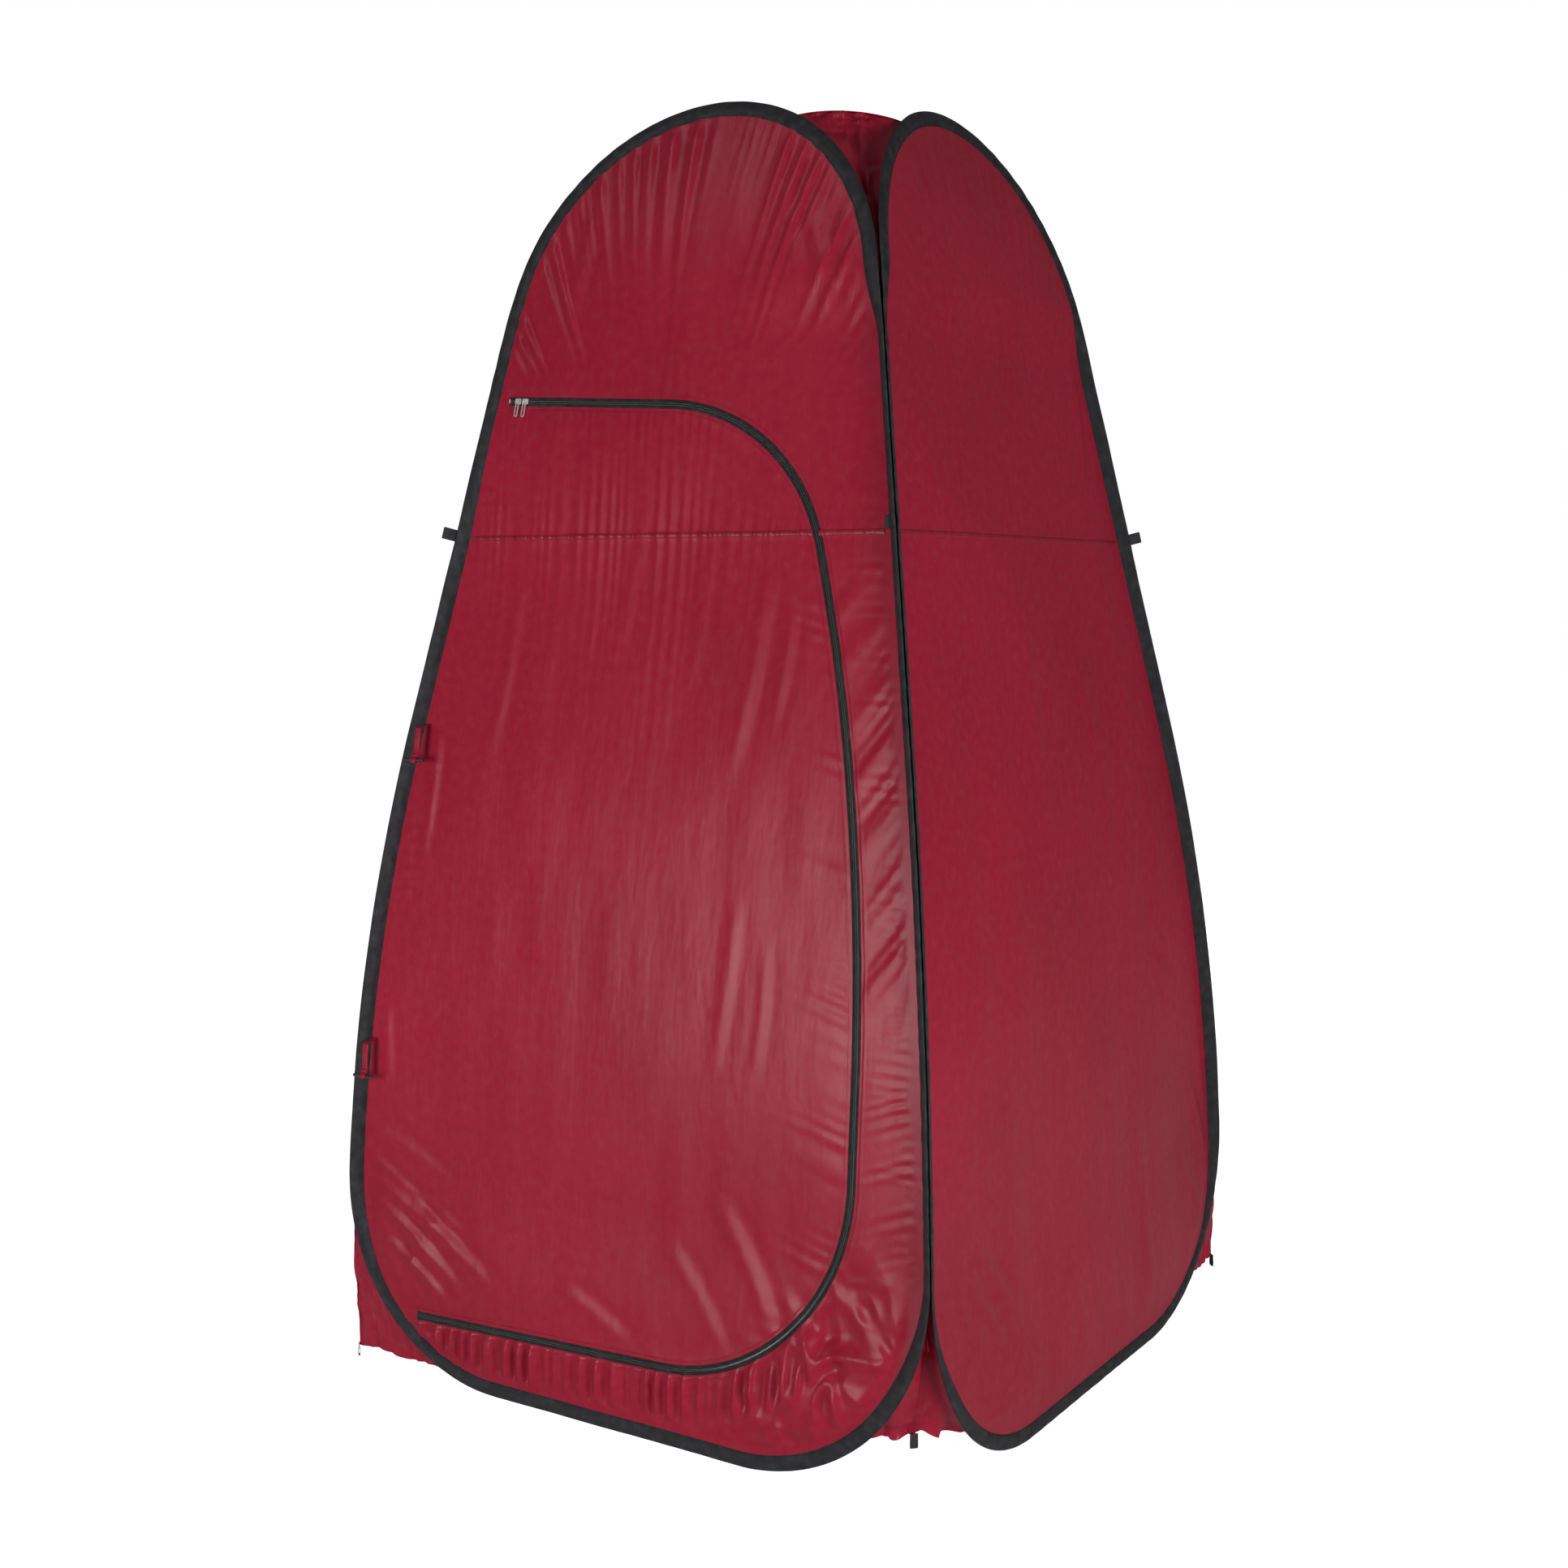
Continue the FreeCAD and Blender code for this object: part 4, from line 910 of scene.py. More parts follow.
# ---- camera, floor and light ----------------------------------------------------------------
CAMERA_TURNED, CAMERA_TILT = math.radians(32.24), math.radians(-5.48)
CAMERA_REACH, CAMERA_HEIGHT = 3.543, 1.333     # from the tent's axis, above the floor
CAMERA_LENS, CAMERA_SENSOR, CAMERA_SHIFT = 45.33, 36.0, -0.0137
FLOOR_SIZE, FLOOR_COLOUR = 30.0, (0.50, 0.50, 0.50, 1)
FLOOR_GLOW_SEEN, FLOOR_GLOW = 0.84, 0.12       # added where the camera sees it, everywhere
SURROUND_GLOW, SURROUND_GLOW_SEEN = 0.10, 1.0
WHITE = (1, 1, 1, 1)
# name, place, aimed at, width, height, watts
LIGHTS = [
    ("key_light", (-0.9, -4.0, 0.9), (0, 0, 0.9), 1.5, 1.3, 92.0),
    ("side_light", (4.1, -1.6, 0.9), (0, 0, 0.9), 1.3, 1.3, 135.0),
    ("overhead_light", (-1.3, -2.7, 4.5), (0, -0.3, 1.9), 1.2, 0.6, 17.0),
    ("back_light", (-1.5, 4.6, 1.8), (0, 0, 1.1), 2.0, 2.0, 80.0),
]


def place_and_aim(name, data, place, direction):
    """Puts a camera or a light in the scene, looking along a direction."""
    holder = bpy.data.objects.new(name, data)
    holder.location = place
    holder.rotation_mode = "QUATERNION"
    holder.rotation_quaternion = Vector(direction).to_track_quat("-Z", "Y")
    bpy.context.scene.collection.objects.link(holder)
    return holder


def camera():
    """Camera at the front right, tilted slightly down."""
    data = bpy.data.cameras.new("camera")
    data.lens, data.sensor_width, data.shift_x = CAMERA_LENS, CAMERA_SENSOR, CAMERA_SHIFT
    side, ahead = math.sin(CAMERA_TURNED), math.cos(CAMERA_TURNED)
    place = (side * CAMERA_REACH, -ahead * CAMERA_REACH, CAMERA_HEIGHT)
    look = (-side * math.cos(CAMERA_TILT), ahead * math.cos(CAMERA_TILT), math.sin(CAMERA_TILT))
    bpy.context.scene.camera = place_and_aim("camera", data, place, look)
    bpy.context.scene.view_settings.view_transform = "Standard"


def white_floor():
    """White floor, brighter where the camera sees it."""
    material, tree, shader, _ = new_material("white_floor", "Object")
    shader.inputs["Base Color"].default_value = FLOOR_COLOUR
    shader.inputs["Roughness"].default_value = 0.9
    shader.inputs["Specular IOR Level"].default_value = 0.1
    shader.inputs["Emission Color"].default_value = WHITE
    seen = tree.nodes.new("ShaderNodeLightPath")
    glow = math_node(tree, "MULTIPLY_ADD", seen.outputs["Is Camera Ray"],
                     FLOOR_GLOW_SEEN, FLOOR_GLOW)
    tree.links.new(glow, shader.inputs["Emission Strength"])
    size = FLOOR_SIZE
    corners = [(-size, -size, 0), (size, -size, 0), (size, size, 0), (-size, size, 0)]
    floor = mesh_piece("floor", corners, [(0, 1, 2, 3)], material=material)
    floor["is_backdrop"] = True


def surround():
    """White surround, dim as a source of light and bright where the camera sees it."""
    world = bpy.data.worlds.new("studio")
    bpy.context.scene.world = world
    world.use_nodes = True
    nodes, links = world.node_tree.nodes, world.node_tree.links
    background = next(n for n in nodes if n.type == "BACKGROUND")
    seen = nodes.new("ShaderNodeLightPath")
    strength = nodes.new("ShaderNodeMix")
    strength.inputs[2].default_value = SURROUND_GLOW
    strength.inputs[3].default_value = SURROUND_GLOW_SEEN
    links.new(seen.outputs["Is Camera Ray"], strength.inputs[0])
    links.new(strength.outputs[0], background.inputs["Strength"])
    background.inputs["Color"].default_value = WHITE


def lights():
    """Large soft lights, one for each row of LIGHTS."""
    for name, place, target, width, tall, power in LIGHTS:
        lamp = bpy.data.lights.new(name, "AREA")
        lamp.shape, lamp.size, lamp.size_y, lamp.energy = "RECTANGLE", width, tall, power
        place_and_aim(name, lamp, place, Vector(target) - Vector(place))


camera()
white_floor()
surround()
lights()


# ---- walls ----------------------------------------------------------------------------------
def wall_grid(columns, rows):
    """Grid of (x, z) that fills the loop: x a share of the half width at each height."""
    low = WALL_INSET - EDGE_INSET - UNDER_SLEEVE
    high = ARCH_CENTRE_Z + ARCH_RADIUS - WALL_INSET + UNDER_SLEEVE
    t = np.linspace(0, 1, rows)
    bend = 0.5 - 0.5 * np.cos(math.pi * t)
    z = low + (high - low) * (0.78 * t + 0.22 * bend)
    z[0], z[-1] = low + 0.0002, high - 0.0002
    u = np.linspace(-1, 1, columns)
    return u[:, None] * half_width(z, WALL_INSET
                                   - UNDER_SLEEVE)[None], np.broadcast_to(z, (columns, rows))


def plain_wall(turns):
    """Wall of one plain face: the smooth face raised by its folds along the normal."""
    name = FACES[turns]
    x, z = wall_grid(150, 260)
    x = x * (1 + np.abs(fin_gain(x, z, turns)) / half_width(z, WALL_INSET - UNDER_SLEEVE))
    places = face_point(x, z, FACE_OFFSETS[turns](x, z), turns)
    wall = mesh_piece(name + "_wall_cloth", places, grid_faces(*x.shape), cloth_uv(x, z), TAFFETA)
    thicken(wall)
    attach(wall, name + "_panel")
    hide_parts(name + "_wall_lower", name + "_wall_upper")
    declare_cloth(face_point(x, z))
    return wall


def hinge_x(z):
    """Where the straight hinge line is at a height."""
    (x0, z0), (x1, z1) = DOOR_CORNERS[-1], DOOR_CORNERS[0]
    return x0 + (z - z0) * (x1 - x0) / (z1 - z0)


def door_wall():
    """Cloth round the door: straight runs from the door's outline out to the loop's outline."""
    edge = rounded(DOOR_CORNERS, DOOR_RADII)
    inner = resample(edge, 1150, closed=True)
    middle = np.array([-0.02, 0.95])
    loop = loop_path(WALL_INSET - UNDER_SLEEVE, 4000)
    loop_angle = np.unwrap(np.arctan2(loop[:, 1] - middle[1], loop[:, 0] - middle[0]))
    order = np.argsort(loop_angle)
    angle = np.unwrap(np.arctan2(inner[:, 1] - middle[1], inner[:, 0] - middle[0]))
    angle = loop_angle.min() + np.mod(angle - loop_angle.min(), 2 * math.pi)
    outer = np.stack([np.interp(angle, loop_angle[order], loop[order, k], period=2 * math.pi)
                      for k in (0, 1)], -1)
    normals = -path_normals(inner, closed=True)
    hinge = inner[:, 0] < hinge_x(inner[:, 1]) + 0.0005
    gap = np.where(hinge, 0.0, ZIP_WIDTH / 2 - ZIP_LAP)
    side = np.sign(((outer - inner) * normals).sum(-1))[:, None]
    outer[:, 0] += fin_gain(outer[:, 0], outer[:, 1], 0)
    inner = inner + normals * side * gap[:, None]
    t = np.linspace(0, 1, 42)[None, :, None] ** 1.35
    flat = inner[:, None] * (1 - t) + outer[:, None] * t
    x, z = flat[..., 0], flat[..., 1]
    places = face_point(x, z, front_offset(x, z))
    wall = mesh_piece("front_wall_cloth", places, grid_faces(*x.shape, close_rows=True)[:, ::-1],
                      cloth_uv(x, z), TAFFETA)
    thicken(wall)
    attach(wall, "front_panel")
    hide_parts("front_wall_lower", "front_wall_upper")
    smooth_places = face_point(x, z)
    return wall


def bend_at_hinge(piece):
    """Cloth by the hinge line follows the front panel there and the door 90 mm further in."""
    x, z = -0.3545, 0.881
    a = face_point(x - 0.004, z)
    b = face_point(x + 0.090, z - 0.007)
    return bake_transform(piece, "front_panel", "door", start=tuple(map(float, a)),
                    end=tuple(map(float, b)))


def door_cloth():
    """The door: a patch between its hinge line, top run, upright edge and bottom run."""
    gap = ZIP_WIDTH / 2 - ZIP_LAP
    line = DOOR_LINE - DOOR_NORMALS * gap
    split_top = int(np.argmin(np.hypot(DOOR_LINE[:, 0] - 0.335, DOOR_LINE[:, 1] - 1.50)))
    split_low = int(np.argmin(np.hypot(DOOR_LINE[:, 0] - 0.325, DOOR_LINE[:, 1] - 0.235)))
    top = resample(line[:split_top + 1], 188)
    right = resample(line[split_top:split_low + 1][::-1], 250)
    bottom = resample(line[split_low:][::-1], 188)
    for line in (bottom, top):
        line[0, 0] = hinge_x(line[0, 1])
    left = np.linspace(bottom[0], top[0], 250)
    flat = coons(bottom, top, left, right)
    x, z = flat[..., 0], flat[..., 1]
    places = face_point(x, z, front_offset(x, z))
    door = mesh_piece("door_cloth", places, grid_faces(*x.shape), cloth_uv(x, z), TAFFETA)
    thicken(door)
    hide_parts("door_lower", "door_upper")
    declare_cloth(face_point(x, z))
    return bend_at_hinge(door)


# ---- sleeves --------------------------------------------------------------------------------
def sleeve_path(rows):
    """Middle line of a flat sleeve and its outward normals."""
    path = loop_path(EDGE_INSET + SLEEVE_WIDTH / 2, rows)
    return path, -path_normals(path, closed=True)


def in_sleeve(path, normals, inwards, thick, turns):
    """Face place of a point of the sleeve's section, rolled about the sleeve's outer edge.

    inwards is measured from the outer edge across the sleeve, thick out of its own middle.
    """
    roll = side_roll(path[:, 0], path[:, 1], turns)[:, None]
    aside = SLEEVE_WIDTH / 2 - inwards * np.cos(roll) - thick * np.sin(roll)
    x = path[:, None, 0] + normals[:, None, 0] * aside
    z = path[:, None, 1] + normals[:, None, 1] * aside
    return x, z, thick * np.cos(roll) - inwards * np.sin(roll)


def spring(turns):
    """Flat steel band inside the sleeve: a rectangle with eased corners carried along the loop."""
    name = FACES[turns]
    path, normals = sleeve_path(1300)
    ease = 0.0003
    half, thick = SPRING_WIDTH / 2, SPRING_THICKNESS / 2
    section = np.array([(-half, -thick + ease), (-half + ease, -thick), (half - ease, -thick),
                        (half, -thick + ease),
                        (half, thick - ease), (half - ease, thick), (-half + ease, thick),
                        (-half, thick - ease)])
    x, z, off = in_sleeve(path, normals, SPRING_INSET + half + section[None, :, 0],
                          section[None, :, 1], turns)
    run = np.arange(1300)[:, None] * path_length(path, True) / 1300
    uv = np.stack([np.broadcast_to(run, x.shape), np.broadcast_to(section[None, :, 0], x.shape)],
                  -1)
    ring = mesh_piece(name + "_spring_band", face_point(x, z, off, turns),
                      grid_faces(*x.shape, True, True), uv, STEEL)
    outwards(ring)
    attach(ring, name + "_panel")
    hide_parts(name + "_spring")


def sleeve(turns):
    """Sleeve of one loop: a flattened section carried along the loop.

    The section is full round the spring band at its outer edge and thins to the sewn inner edge;
    slanting ripples run round it where the cloth has twisted on the band.
    """
    name = FACES[turns]
    rows, columns = 1300, 22
    path, normals = sleeve_path(rows)
    run = np.arange(rows)[:, None] * path_length(path, True) / rows
    angle = np.linspace(0, 2 * math.pi, columns, endpoint=False)[None]
    across = SLEEVE_WIDTH / 2 * np.sign(np.cos(angle)) * np.abs(np.cos(angle)) ** 0.8
    full = 0.0009 + 0.0028 * smooth((across + SLEEVE_WIDTH / 2) / 0.010)
    seed = 500 + 10 * turns
    twist = np.sin(2 * math.pi * (run / 0.043 + across / 0.030 + 0.8 * wander(run, 0.11, seed)))
    amount = 0.5 + 0.5 * wander(run, 0.17, seed + 1)
    thick = (np.sign(np.sin(angle)) * np.abs(np.sin(angle)) ** 0.7
             * (full + 0.0009 * amount * twist * smooth(full / 0.002)))
    across = across + 0.0006 * wander(run, 0.09, seed + 2) * np.ones_like(angle)
    roll = side_roll(path[:, 0], path[:, 1], turns)[:, None]
    thick = np.clip(thick, -0.0039, 0.0039) * (1 - 0.25 * np.sin(roll))
    x, z, off = in_sleeve(path, normals, SLEEVE_WIDTH / 2 - across, thick, turns)
    places = face_point(x, z, off, turns)
    uv = np.stack([np.broadcast_to(run, x.shape), np.broadcast_to(across, x.shape)], -1)
    tube = mesh_piece(name + "_sleeve_cloth", places, grid_faces(rows, columns, True, True), uv,
                      SLEEVE_CLOTH)
    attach(tube, name + "_panel")
    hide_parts(name + "_sleeve")
    return tube


# ---- zip ------------------------------------------------------------------------------------
def tail_start():
    u = np.array(DOOR_CORNERS[1]) - DOOR_CORNERS[0]
    return np.array(DOOR_CORNERS[0]) - u / np.linalg.norm(u) * ZIP_TAIL


def strip(name, line, sections, material):
    """A flat section carried along a line on the door face; sections give (across, height) rows."""
    normals = path_normals(line)
    across, height = sections[..., 0], sections[..., 1]
    x = line[:, None, 0] + normals[:, None, 0] * across
    z = line[:, None, 1] + normals[:, None, 1] * across
    places = face_point(x, z, height + front_offset(x, z))
    run = np.broadcast_to(np.linspace(0, path_length(line), len(line))[:, None], x.shape)
    uv = np.stack([run, np.broadcast_to(across, x.shape)], -1)
    piece = mesh_piece(name, places, grid_faces(*x.shape, close_columns=True)[:, ::-1], uv,
                       material)
    return piece


def tape_section(low, high, rows):
    """Thin woven strip: a flat box section with a raised edge row."""
    base = np.array([(low, -0.0006), (low, 0.0005), ((low + high) / 2, 0.0007), (high, 0.0005),
                     (high, -0.0006)])
    return np.broadcast_to(base, (rows, 5, 2)).copy()


def coil_section(low, high, rows):
    """Half of the coil: a hump across it, notched along its length once per turn of the coil."""
    phase = np.arange(rows)[:, None] * 2 * math.pi / 4
    notch = 0.5 + 0.5 * np.cos(phase)
    share = np.array([0.0, 0.0, 0.3, 0.7, 1.0, 1.0])[None]
    top = np.array([0.0, 0.45, 1.0, 1.0, 0.55, 0.0])[None]
    across = low + (high - low) * share + 0 * phase
    height = -0.0003 + top * (0.0012 + 0.0007 * notch)
    return np.stack([across, height], -1)


def zip_pieces():
    """Tapes and coil halves of both sides of the zip along the door's line."""
    half, chain, gap = ZIP_WIDTH / 2, CHAIN_WIDTH / 2, ZIP_CLEARANCE / 2
    with_tail = np.vstack([tail_start()[None], DOOR_LINE])
    coil_rows = int(path_length(with_tail) / 0.0024) * 4
    tape_rows = 1100
    line = resample(with_tail, tape_rows)
    fine = resample(with_tail, coil_rows)
    frame_tape = strip("zip_tape_frame_side", line, tape_section(chain * 0.6, half, tape_rows),
                       ZIP_TAPE)
    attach(frame_tape, "front_panel")
    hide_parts("zip_tape_frame")
    frame_coil = strip("zip_coil_frame_side", fine, coil_section(gap, chain, coil_rows), ZIP_COIL)
    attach(frame_coil, "front_panel")
    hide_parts("zip_chain_frame")
    tail = resample(np.stack([tail_start(), DOOR_CORNERS[0]]), 84)
    low_tape = strip("zip_tape_tail", tail, tape_section(-half, -chain * 0.6, 84), ZIP_TAPE)
    low_coil = strip("zip_coil_tail", tail, coil_section(-chain, -gap, 84), ZIP_COIL)
    for piece in (low_tape, low_coil):
        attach(piece, "front_panel")
    line = resample(DOOR_LINE, tape_rows)
    fine = resample(DOOR_LINE, coil_rows)
    door_tape = strip("zip_tape_door_side", line, tape_section(-half, -chain * 0.6, tape_rows),
                      ZIP_TAPE)
    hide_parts("zip_tape_door")
    door_coil = strip("zip_coil_door_side", fine, coil_section(-chain, -gap, coil_rows), ZIP_COIL)
    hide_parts("zip_chain_door")
    for piece in (door_tape, door_coil):
        bend_at_hinge(piece)


for quarter in range(4):
    sleeve(quarter)
    spring(quarter)
    if quarter:
        plain_wall(quarter)
zip_pieces()
door_wall()
door_cloth()


# ---- roof and corner cloth ------------------------------------------------------------------
def arch_place(angle, off=-0.003):
    """Point of the front arch's sleeve, at an angle from its top, on the cloth's inner side."""
    radius = ARCH_RADIUS - EDGE_INSET - SLEEVE_WIDTH / 2
    return face_point(radius * np.sin(angle), ARCH_CENTRE_Z + radius * np.cos(angle), off)


def mirrored(points):
    """The same points on the right face's side of the front right corner: x and y change places."""
    return np.stack([-points[..., 1], -points[..., 0], points[..., 2]], -1)


def roof_quarter(turns):
    """Roof cloth: straight runs from the middle to the arch, sagging and slightly crumpled."""
    name = FACES[turns]
    angle = np.linspace(-ROOF_SPREAD, ROOF_SPREAD, 90)
    rim = arch_place(angle, -0.002)
    right = (rim[-1] + mirrored(rim[-1])) / 2
    left = right * (-1, 1, 1)
    share = np.linspace(0, 1, 30)[:, None]
    bridge = share * np.array([[0, 0, 1.0]])
    raised = ROOF_LIFT * np.sin(math.pi / 2 * bridge) ** 0.6
    rim = np.vstack([(left + (rim[0] - left) * share + raised[::-1])[:-1], rim,
                     (rim[-1] + (right - rim[-1]) * share + raised)[1:]])
    middle = np.array([0, 0, ROOF_MIDDLE - 0.001])
    t = np.linspace(0.003, 1, 60)[None, :, None]
    places = middle + (rim[:, None] - middle) * t
    x, y = places[..., 0], places[..., 1]
    inside = smooth((1 - t[..., 0]) / 0.12) * smooth(t[..., 0] / 0.2)
    seam = smooth((np.abs(np.abs(x) - np.abs(y))) / 0.03)
    lift = inside * seam * (crumple(x, y, 0.085, 0.0035, 610) - 0.004)
    lift = lift + inside * folds(x, (1 - t[..., 0]) * 0.3, 0.028, 0.09, 0.002, 620)
    places = places + np.stack([0 * x, 0 * x, lift], -1)
    uv = np.stack([x, y], -1)
    roof = mesh_piece("roof_cloth_" + name, turn(places, turns), grid_faces(*x.shape)[:, ::-1], uv,
                      ROOF_TAFFETA)
    thicken(roof)
    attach(roof, name + "_panel")
    outward = turn(np.array([[0.0, -1.0, 0.0]]), turns)[0]
    at = outward * abs(float(arch_place(ROOF_SPREAD)[1]))
    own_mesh(roof)
    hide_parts("roof_" + name)
    declare_cloth(places)
    return roof


def top_gusset(corner, turns, riding):
    """Cloth between two arches from the roof's seam down: straight runs across, pushed inwards."""
    lowest = math.pi / 2 - ARCH_ANGLE - math.radians(2)
    t = np.linspace(0, 1, 90)[None]
    across = np.linspace(0, 1, 61)[:, None]
    front = arch_place(ROOF_SPREAD + (lowest - ROOF_SPREAD) * t[0])
    places = front[None] * (1 - across[..., None]) + mirrored(front)[None] * across[..., None]
    width = np.linalg.norm(front - mirrored(front), axis=1)[None]
    inside = np.sin(math.pi * across)
    hold = smooth(t / 0.15)
    run, side = t * 0.30 + 0 * across, (across - 0.5) * width
    slack = 0.30 * width * inside * hold * (0.5 + 0.5 * smooth(t / 0.6))
    crack = 0.006 * np.exp(-((side - 0.10 * width) / 0.006) ** 2) * smooth(t / 0.08)
    rumple = inside * smooth(width / 0.05) * (crumple(side * 1.2, run * 0.8, 0.040, 0.0075,
                                                      640 + turns)
                                              + folds(side, run, 0.018, 0.16, 0.0045, 650 + turns))
    depth = slack - crack + rumple
    inward = np.array([-1, 1, 0]) / math.sqrt(2)
    places = places + depth[..., None] * inward
    places[..., 2] += ROOF_LIFT * np.maximum(inside, 0) ** 0.6 * (1 - smooth(t / 0.5))
    uv = np.stack([side, run], -1)
    return corner_cloth(corner + "_top_gusset_cloth", turn(places, turns), uv, riding, 0.016, turns,
                        corner + "_top_gusset", abs(float(arch_place(lowest)[1])))


def base_gusset(corner, turns, riding):
    """Corner cloth below the parting of two loops: sleeve, corner, sleeve, down to its hem."""
    hem, recess = HEM_HEIGHT[corner], HEM_RECESS[corner]
    deep = recess > 0.02
    t = np.linspace(0, 1, 80)[None]
    s = np.linspace(-1, 1, 161)[:, None]
    top = FOOT_TOUCH[1]
    wave = 0.012 * wander(s * 0.2, 0.055, 700 + turns) + 0.003 * wander(s * 0.2, 0.022, 701 + turns)
    free = (1 - np.abs(s) ** 4) * smooth(np.abs(s) / 0.2)
    low = hem + wave * free * (1.0 if deep else 0.3) - 0.003
    z = low + (top - low) * (1 - t) ** 0.9
    share = (z - hem) / (top - hem)
    edge = side_curve(z) - EDGE_INSET - 0.0006
    apex = edge - recess * (1 - np.clip(share, 0, 1))
    rolled = fin_roll(z, turns, True) / FIN_ROLL
    hold = np.minimum(half_width(z, EDGE_INSET), edge) - SLEEVE_WIDTH / 2 * (1 - 0.75 * rolled)
    # the front half runs from (hold, -edge) to the corner (apex, -apex), the right half mirrors it
    out = 1 - np.abs(s)
    soft = np.sqrt(out ** 2 + 0.0016) / math.sqrt(1.0016)
    fx = hold + (apex - hold) * soft
    fy = -edge + (edge - apex) * soft
    front = np.stack([fx, fy, z + 0 * s], -1)
    places = np.where((s < 0)[..., None], front, mirrored(front))
    run = s * (apex - hold)
    loose = smooth((1 - np.abs(s)) / 0.15) * smooth((top - z) / 0.06)
    size = 0.010 if deep else 0.0035
    rumple = loose * (crumple(run * 1.1, z * 0.9, 0.055, size, 720 + turns)
                      + folds(run, z - low, 0.030, 0.12, size * 0.8, 730 + turns))
    inward = np.stack([np.where(s < 0, -0.25, -1.0) + 0 * z, np.where(s < 0, 1.0, 0.25) + 0 * z,
                       0 * z], -1)
    inward /= np.linalg.norm(inward, axis=-1)[..., None]
    places = places + (np.abs(rumple) + 0.0002)[..., None] * inward
    uv = np.stack([run, z + 0 * s], -1)
    return corner_cloth(corner + "_base_gusset_cloth", turn(places, turns)[:, ::-1], uv[:, ::-1],
                        riding, 0.060,
                        turns, corner + "_base_gusset", HALF_WIDTH - EDGE_INSET)


def corner_cloth(name, places, uv, riding, reach, turns, node, flatten=0.0):
    """Cloth across a corner: it bends between its two panels, or is split at the corner."""
    across = turn(np.array([[1.0, 1.0, 0.0]]) / math.sqrt(2), turns)[0]
    rows = len(places)
    if len(riding) == 2:
        halves = [(name, slice(None), None)]
    else:
        halves = [(name + "_a", slice(0, rows // 2 + 1), riding[0]),
                  (name + "_b", slice(rows // 2, rows), riding[2])]
    for label, part, body in halves:
        piece = mesh_piece(label, places[part], grid_faces(*places[part].shape[:2]), uv[part],
                           ROOF_TAFFETA)
        thicken(piece)
        if node:
            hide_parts(node)
        if body:
            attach(piece, body)
            if flatten:
                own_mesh(piece)
        else:
            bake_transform(piece, riding[0], riding[1], start=tuple(-reach * across),
                     end=tuple(reach * across))
        declare_cloth(places[part])


CORNER_BODIES = {
    "front_right": ("front_panel", "right_panel"), "back_right": ("right_panel", "back_panel"),
    "back_left": ("back_panel", "left_panel"), "front_left": ("left_panel", None, "front_panel")}

def corner_seam(corner, turns, riding):
    """Narrow strip of wall cloth that joins two sleeves behind the corner, from foot to arch."""
    z = np.linspace(FOOT_TOUCH[1] - 0.10, ARCH_TOUCH[1] + 0.03, 280)[None]
    s = np.linspace(-1, 1, 9)[:, None]
    edge = side_curve(z) - EDGE_INSET - SLEEVE_WIDTH * np.sin(fin_roll(z, turns, True)) + 0 * s
    front = np.stack([edge - np.abs(s) * 0.011, -edge + 0.0030, z + 0 * s], -1)
    places = np.where((s < 0)[..., None], front, mirrored(front))
    places[4] = (front[4] + mirrored(front)[4]) / 2
    uv = np.stack([s * 0.02 + 0 * z, z + 0 * s], -1)
    corner_cloth(corner + "_seam_cloth", turn(places, turns)[:, ::-1], uv[:, ::-1], riding, 0.010,
                 turns, None)


for quarter in range(4):
    corner_seam(CORNERS[quarter], quarter, CORNER_BODIES[CORNERS[quarter]])
    roof_quarter(quarter)
    top_gusset(CORNERS[quarter], quarter, CORNER_BODIES[CORNERS[quarter]])
    base_gusset(CORNERS[quarter], quarter, CORNER_BODIES[CORNERS[quarter]])


# ---- stitching ------------------------------------------------------------------------------
STITCH_PITCH = 0.0036
STITCH_LENGTH = 0.0026
STITCH_WIDTH = 0.0005
STITCH_PROUD = 0.0005


def stitches(name, line, turns, height, material=None):
    """Row of stitches along a line of a face: each an eight-sided bead stretched along the line."""
    line = np.asarray(line, float)
    line = resample(line, max(int(path_length(line) / STITCH_PITCH), 2))
    along = np.gradient(line, axis=0)
    along /= np.linalg.norm(along, axis=1)[:, None]
    beside = np.stack([-along[:, 1], along[:, 0]], -1)
    base = height(line[:, 0], line[:, 1])[:, None]
    reach = np.array([1, -1, 0, 0, 0, 0]) * STITCH_LENGTH / 2
    width = np.array([0, 0, 1, -1, 0, 0]) * STITCH_WIDTH
    rise = np.array([0, 0, 0.1, 0.1, 1, -0.6]) * STITCH_PROUD
    x = line[:, None, 0] + along[:, None, 0] * reach + beside[:, None, 0] * width
    z = line[:, None, 1] + along[:, None, 1] * reach + beside[:, None, 1] * width
    bead = np.array([(0, 2, 4), (2, 1, 4), (1, 3, 4), (3, 0, 4), (2, 0, 5), (1, 2, 5), (3, 1, 5),
                     (0, 3, 5)])
    faces = (np.arange(len(line))[:, None, None] * 6 + bead).reshape(-1, 3)
    row = mesh_piece(name, face_point(x, z, base + rise, turns), faces, np.stack([x, z], -1),
                     material or THREAD)
    return row


def on_cloth(turns):
    return lambda x, z: FACE_OFFSETS[turns](x, z) + CLOTH / 2


def level_line(z, start, end):
    return np.stack([np.linspace(start, end, 300), np.full(300, z)], -1)


SEAM_LAP = 0.010


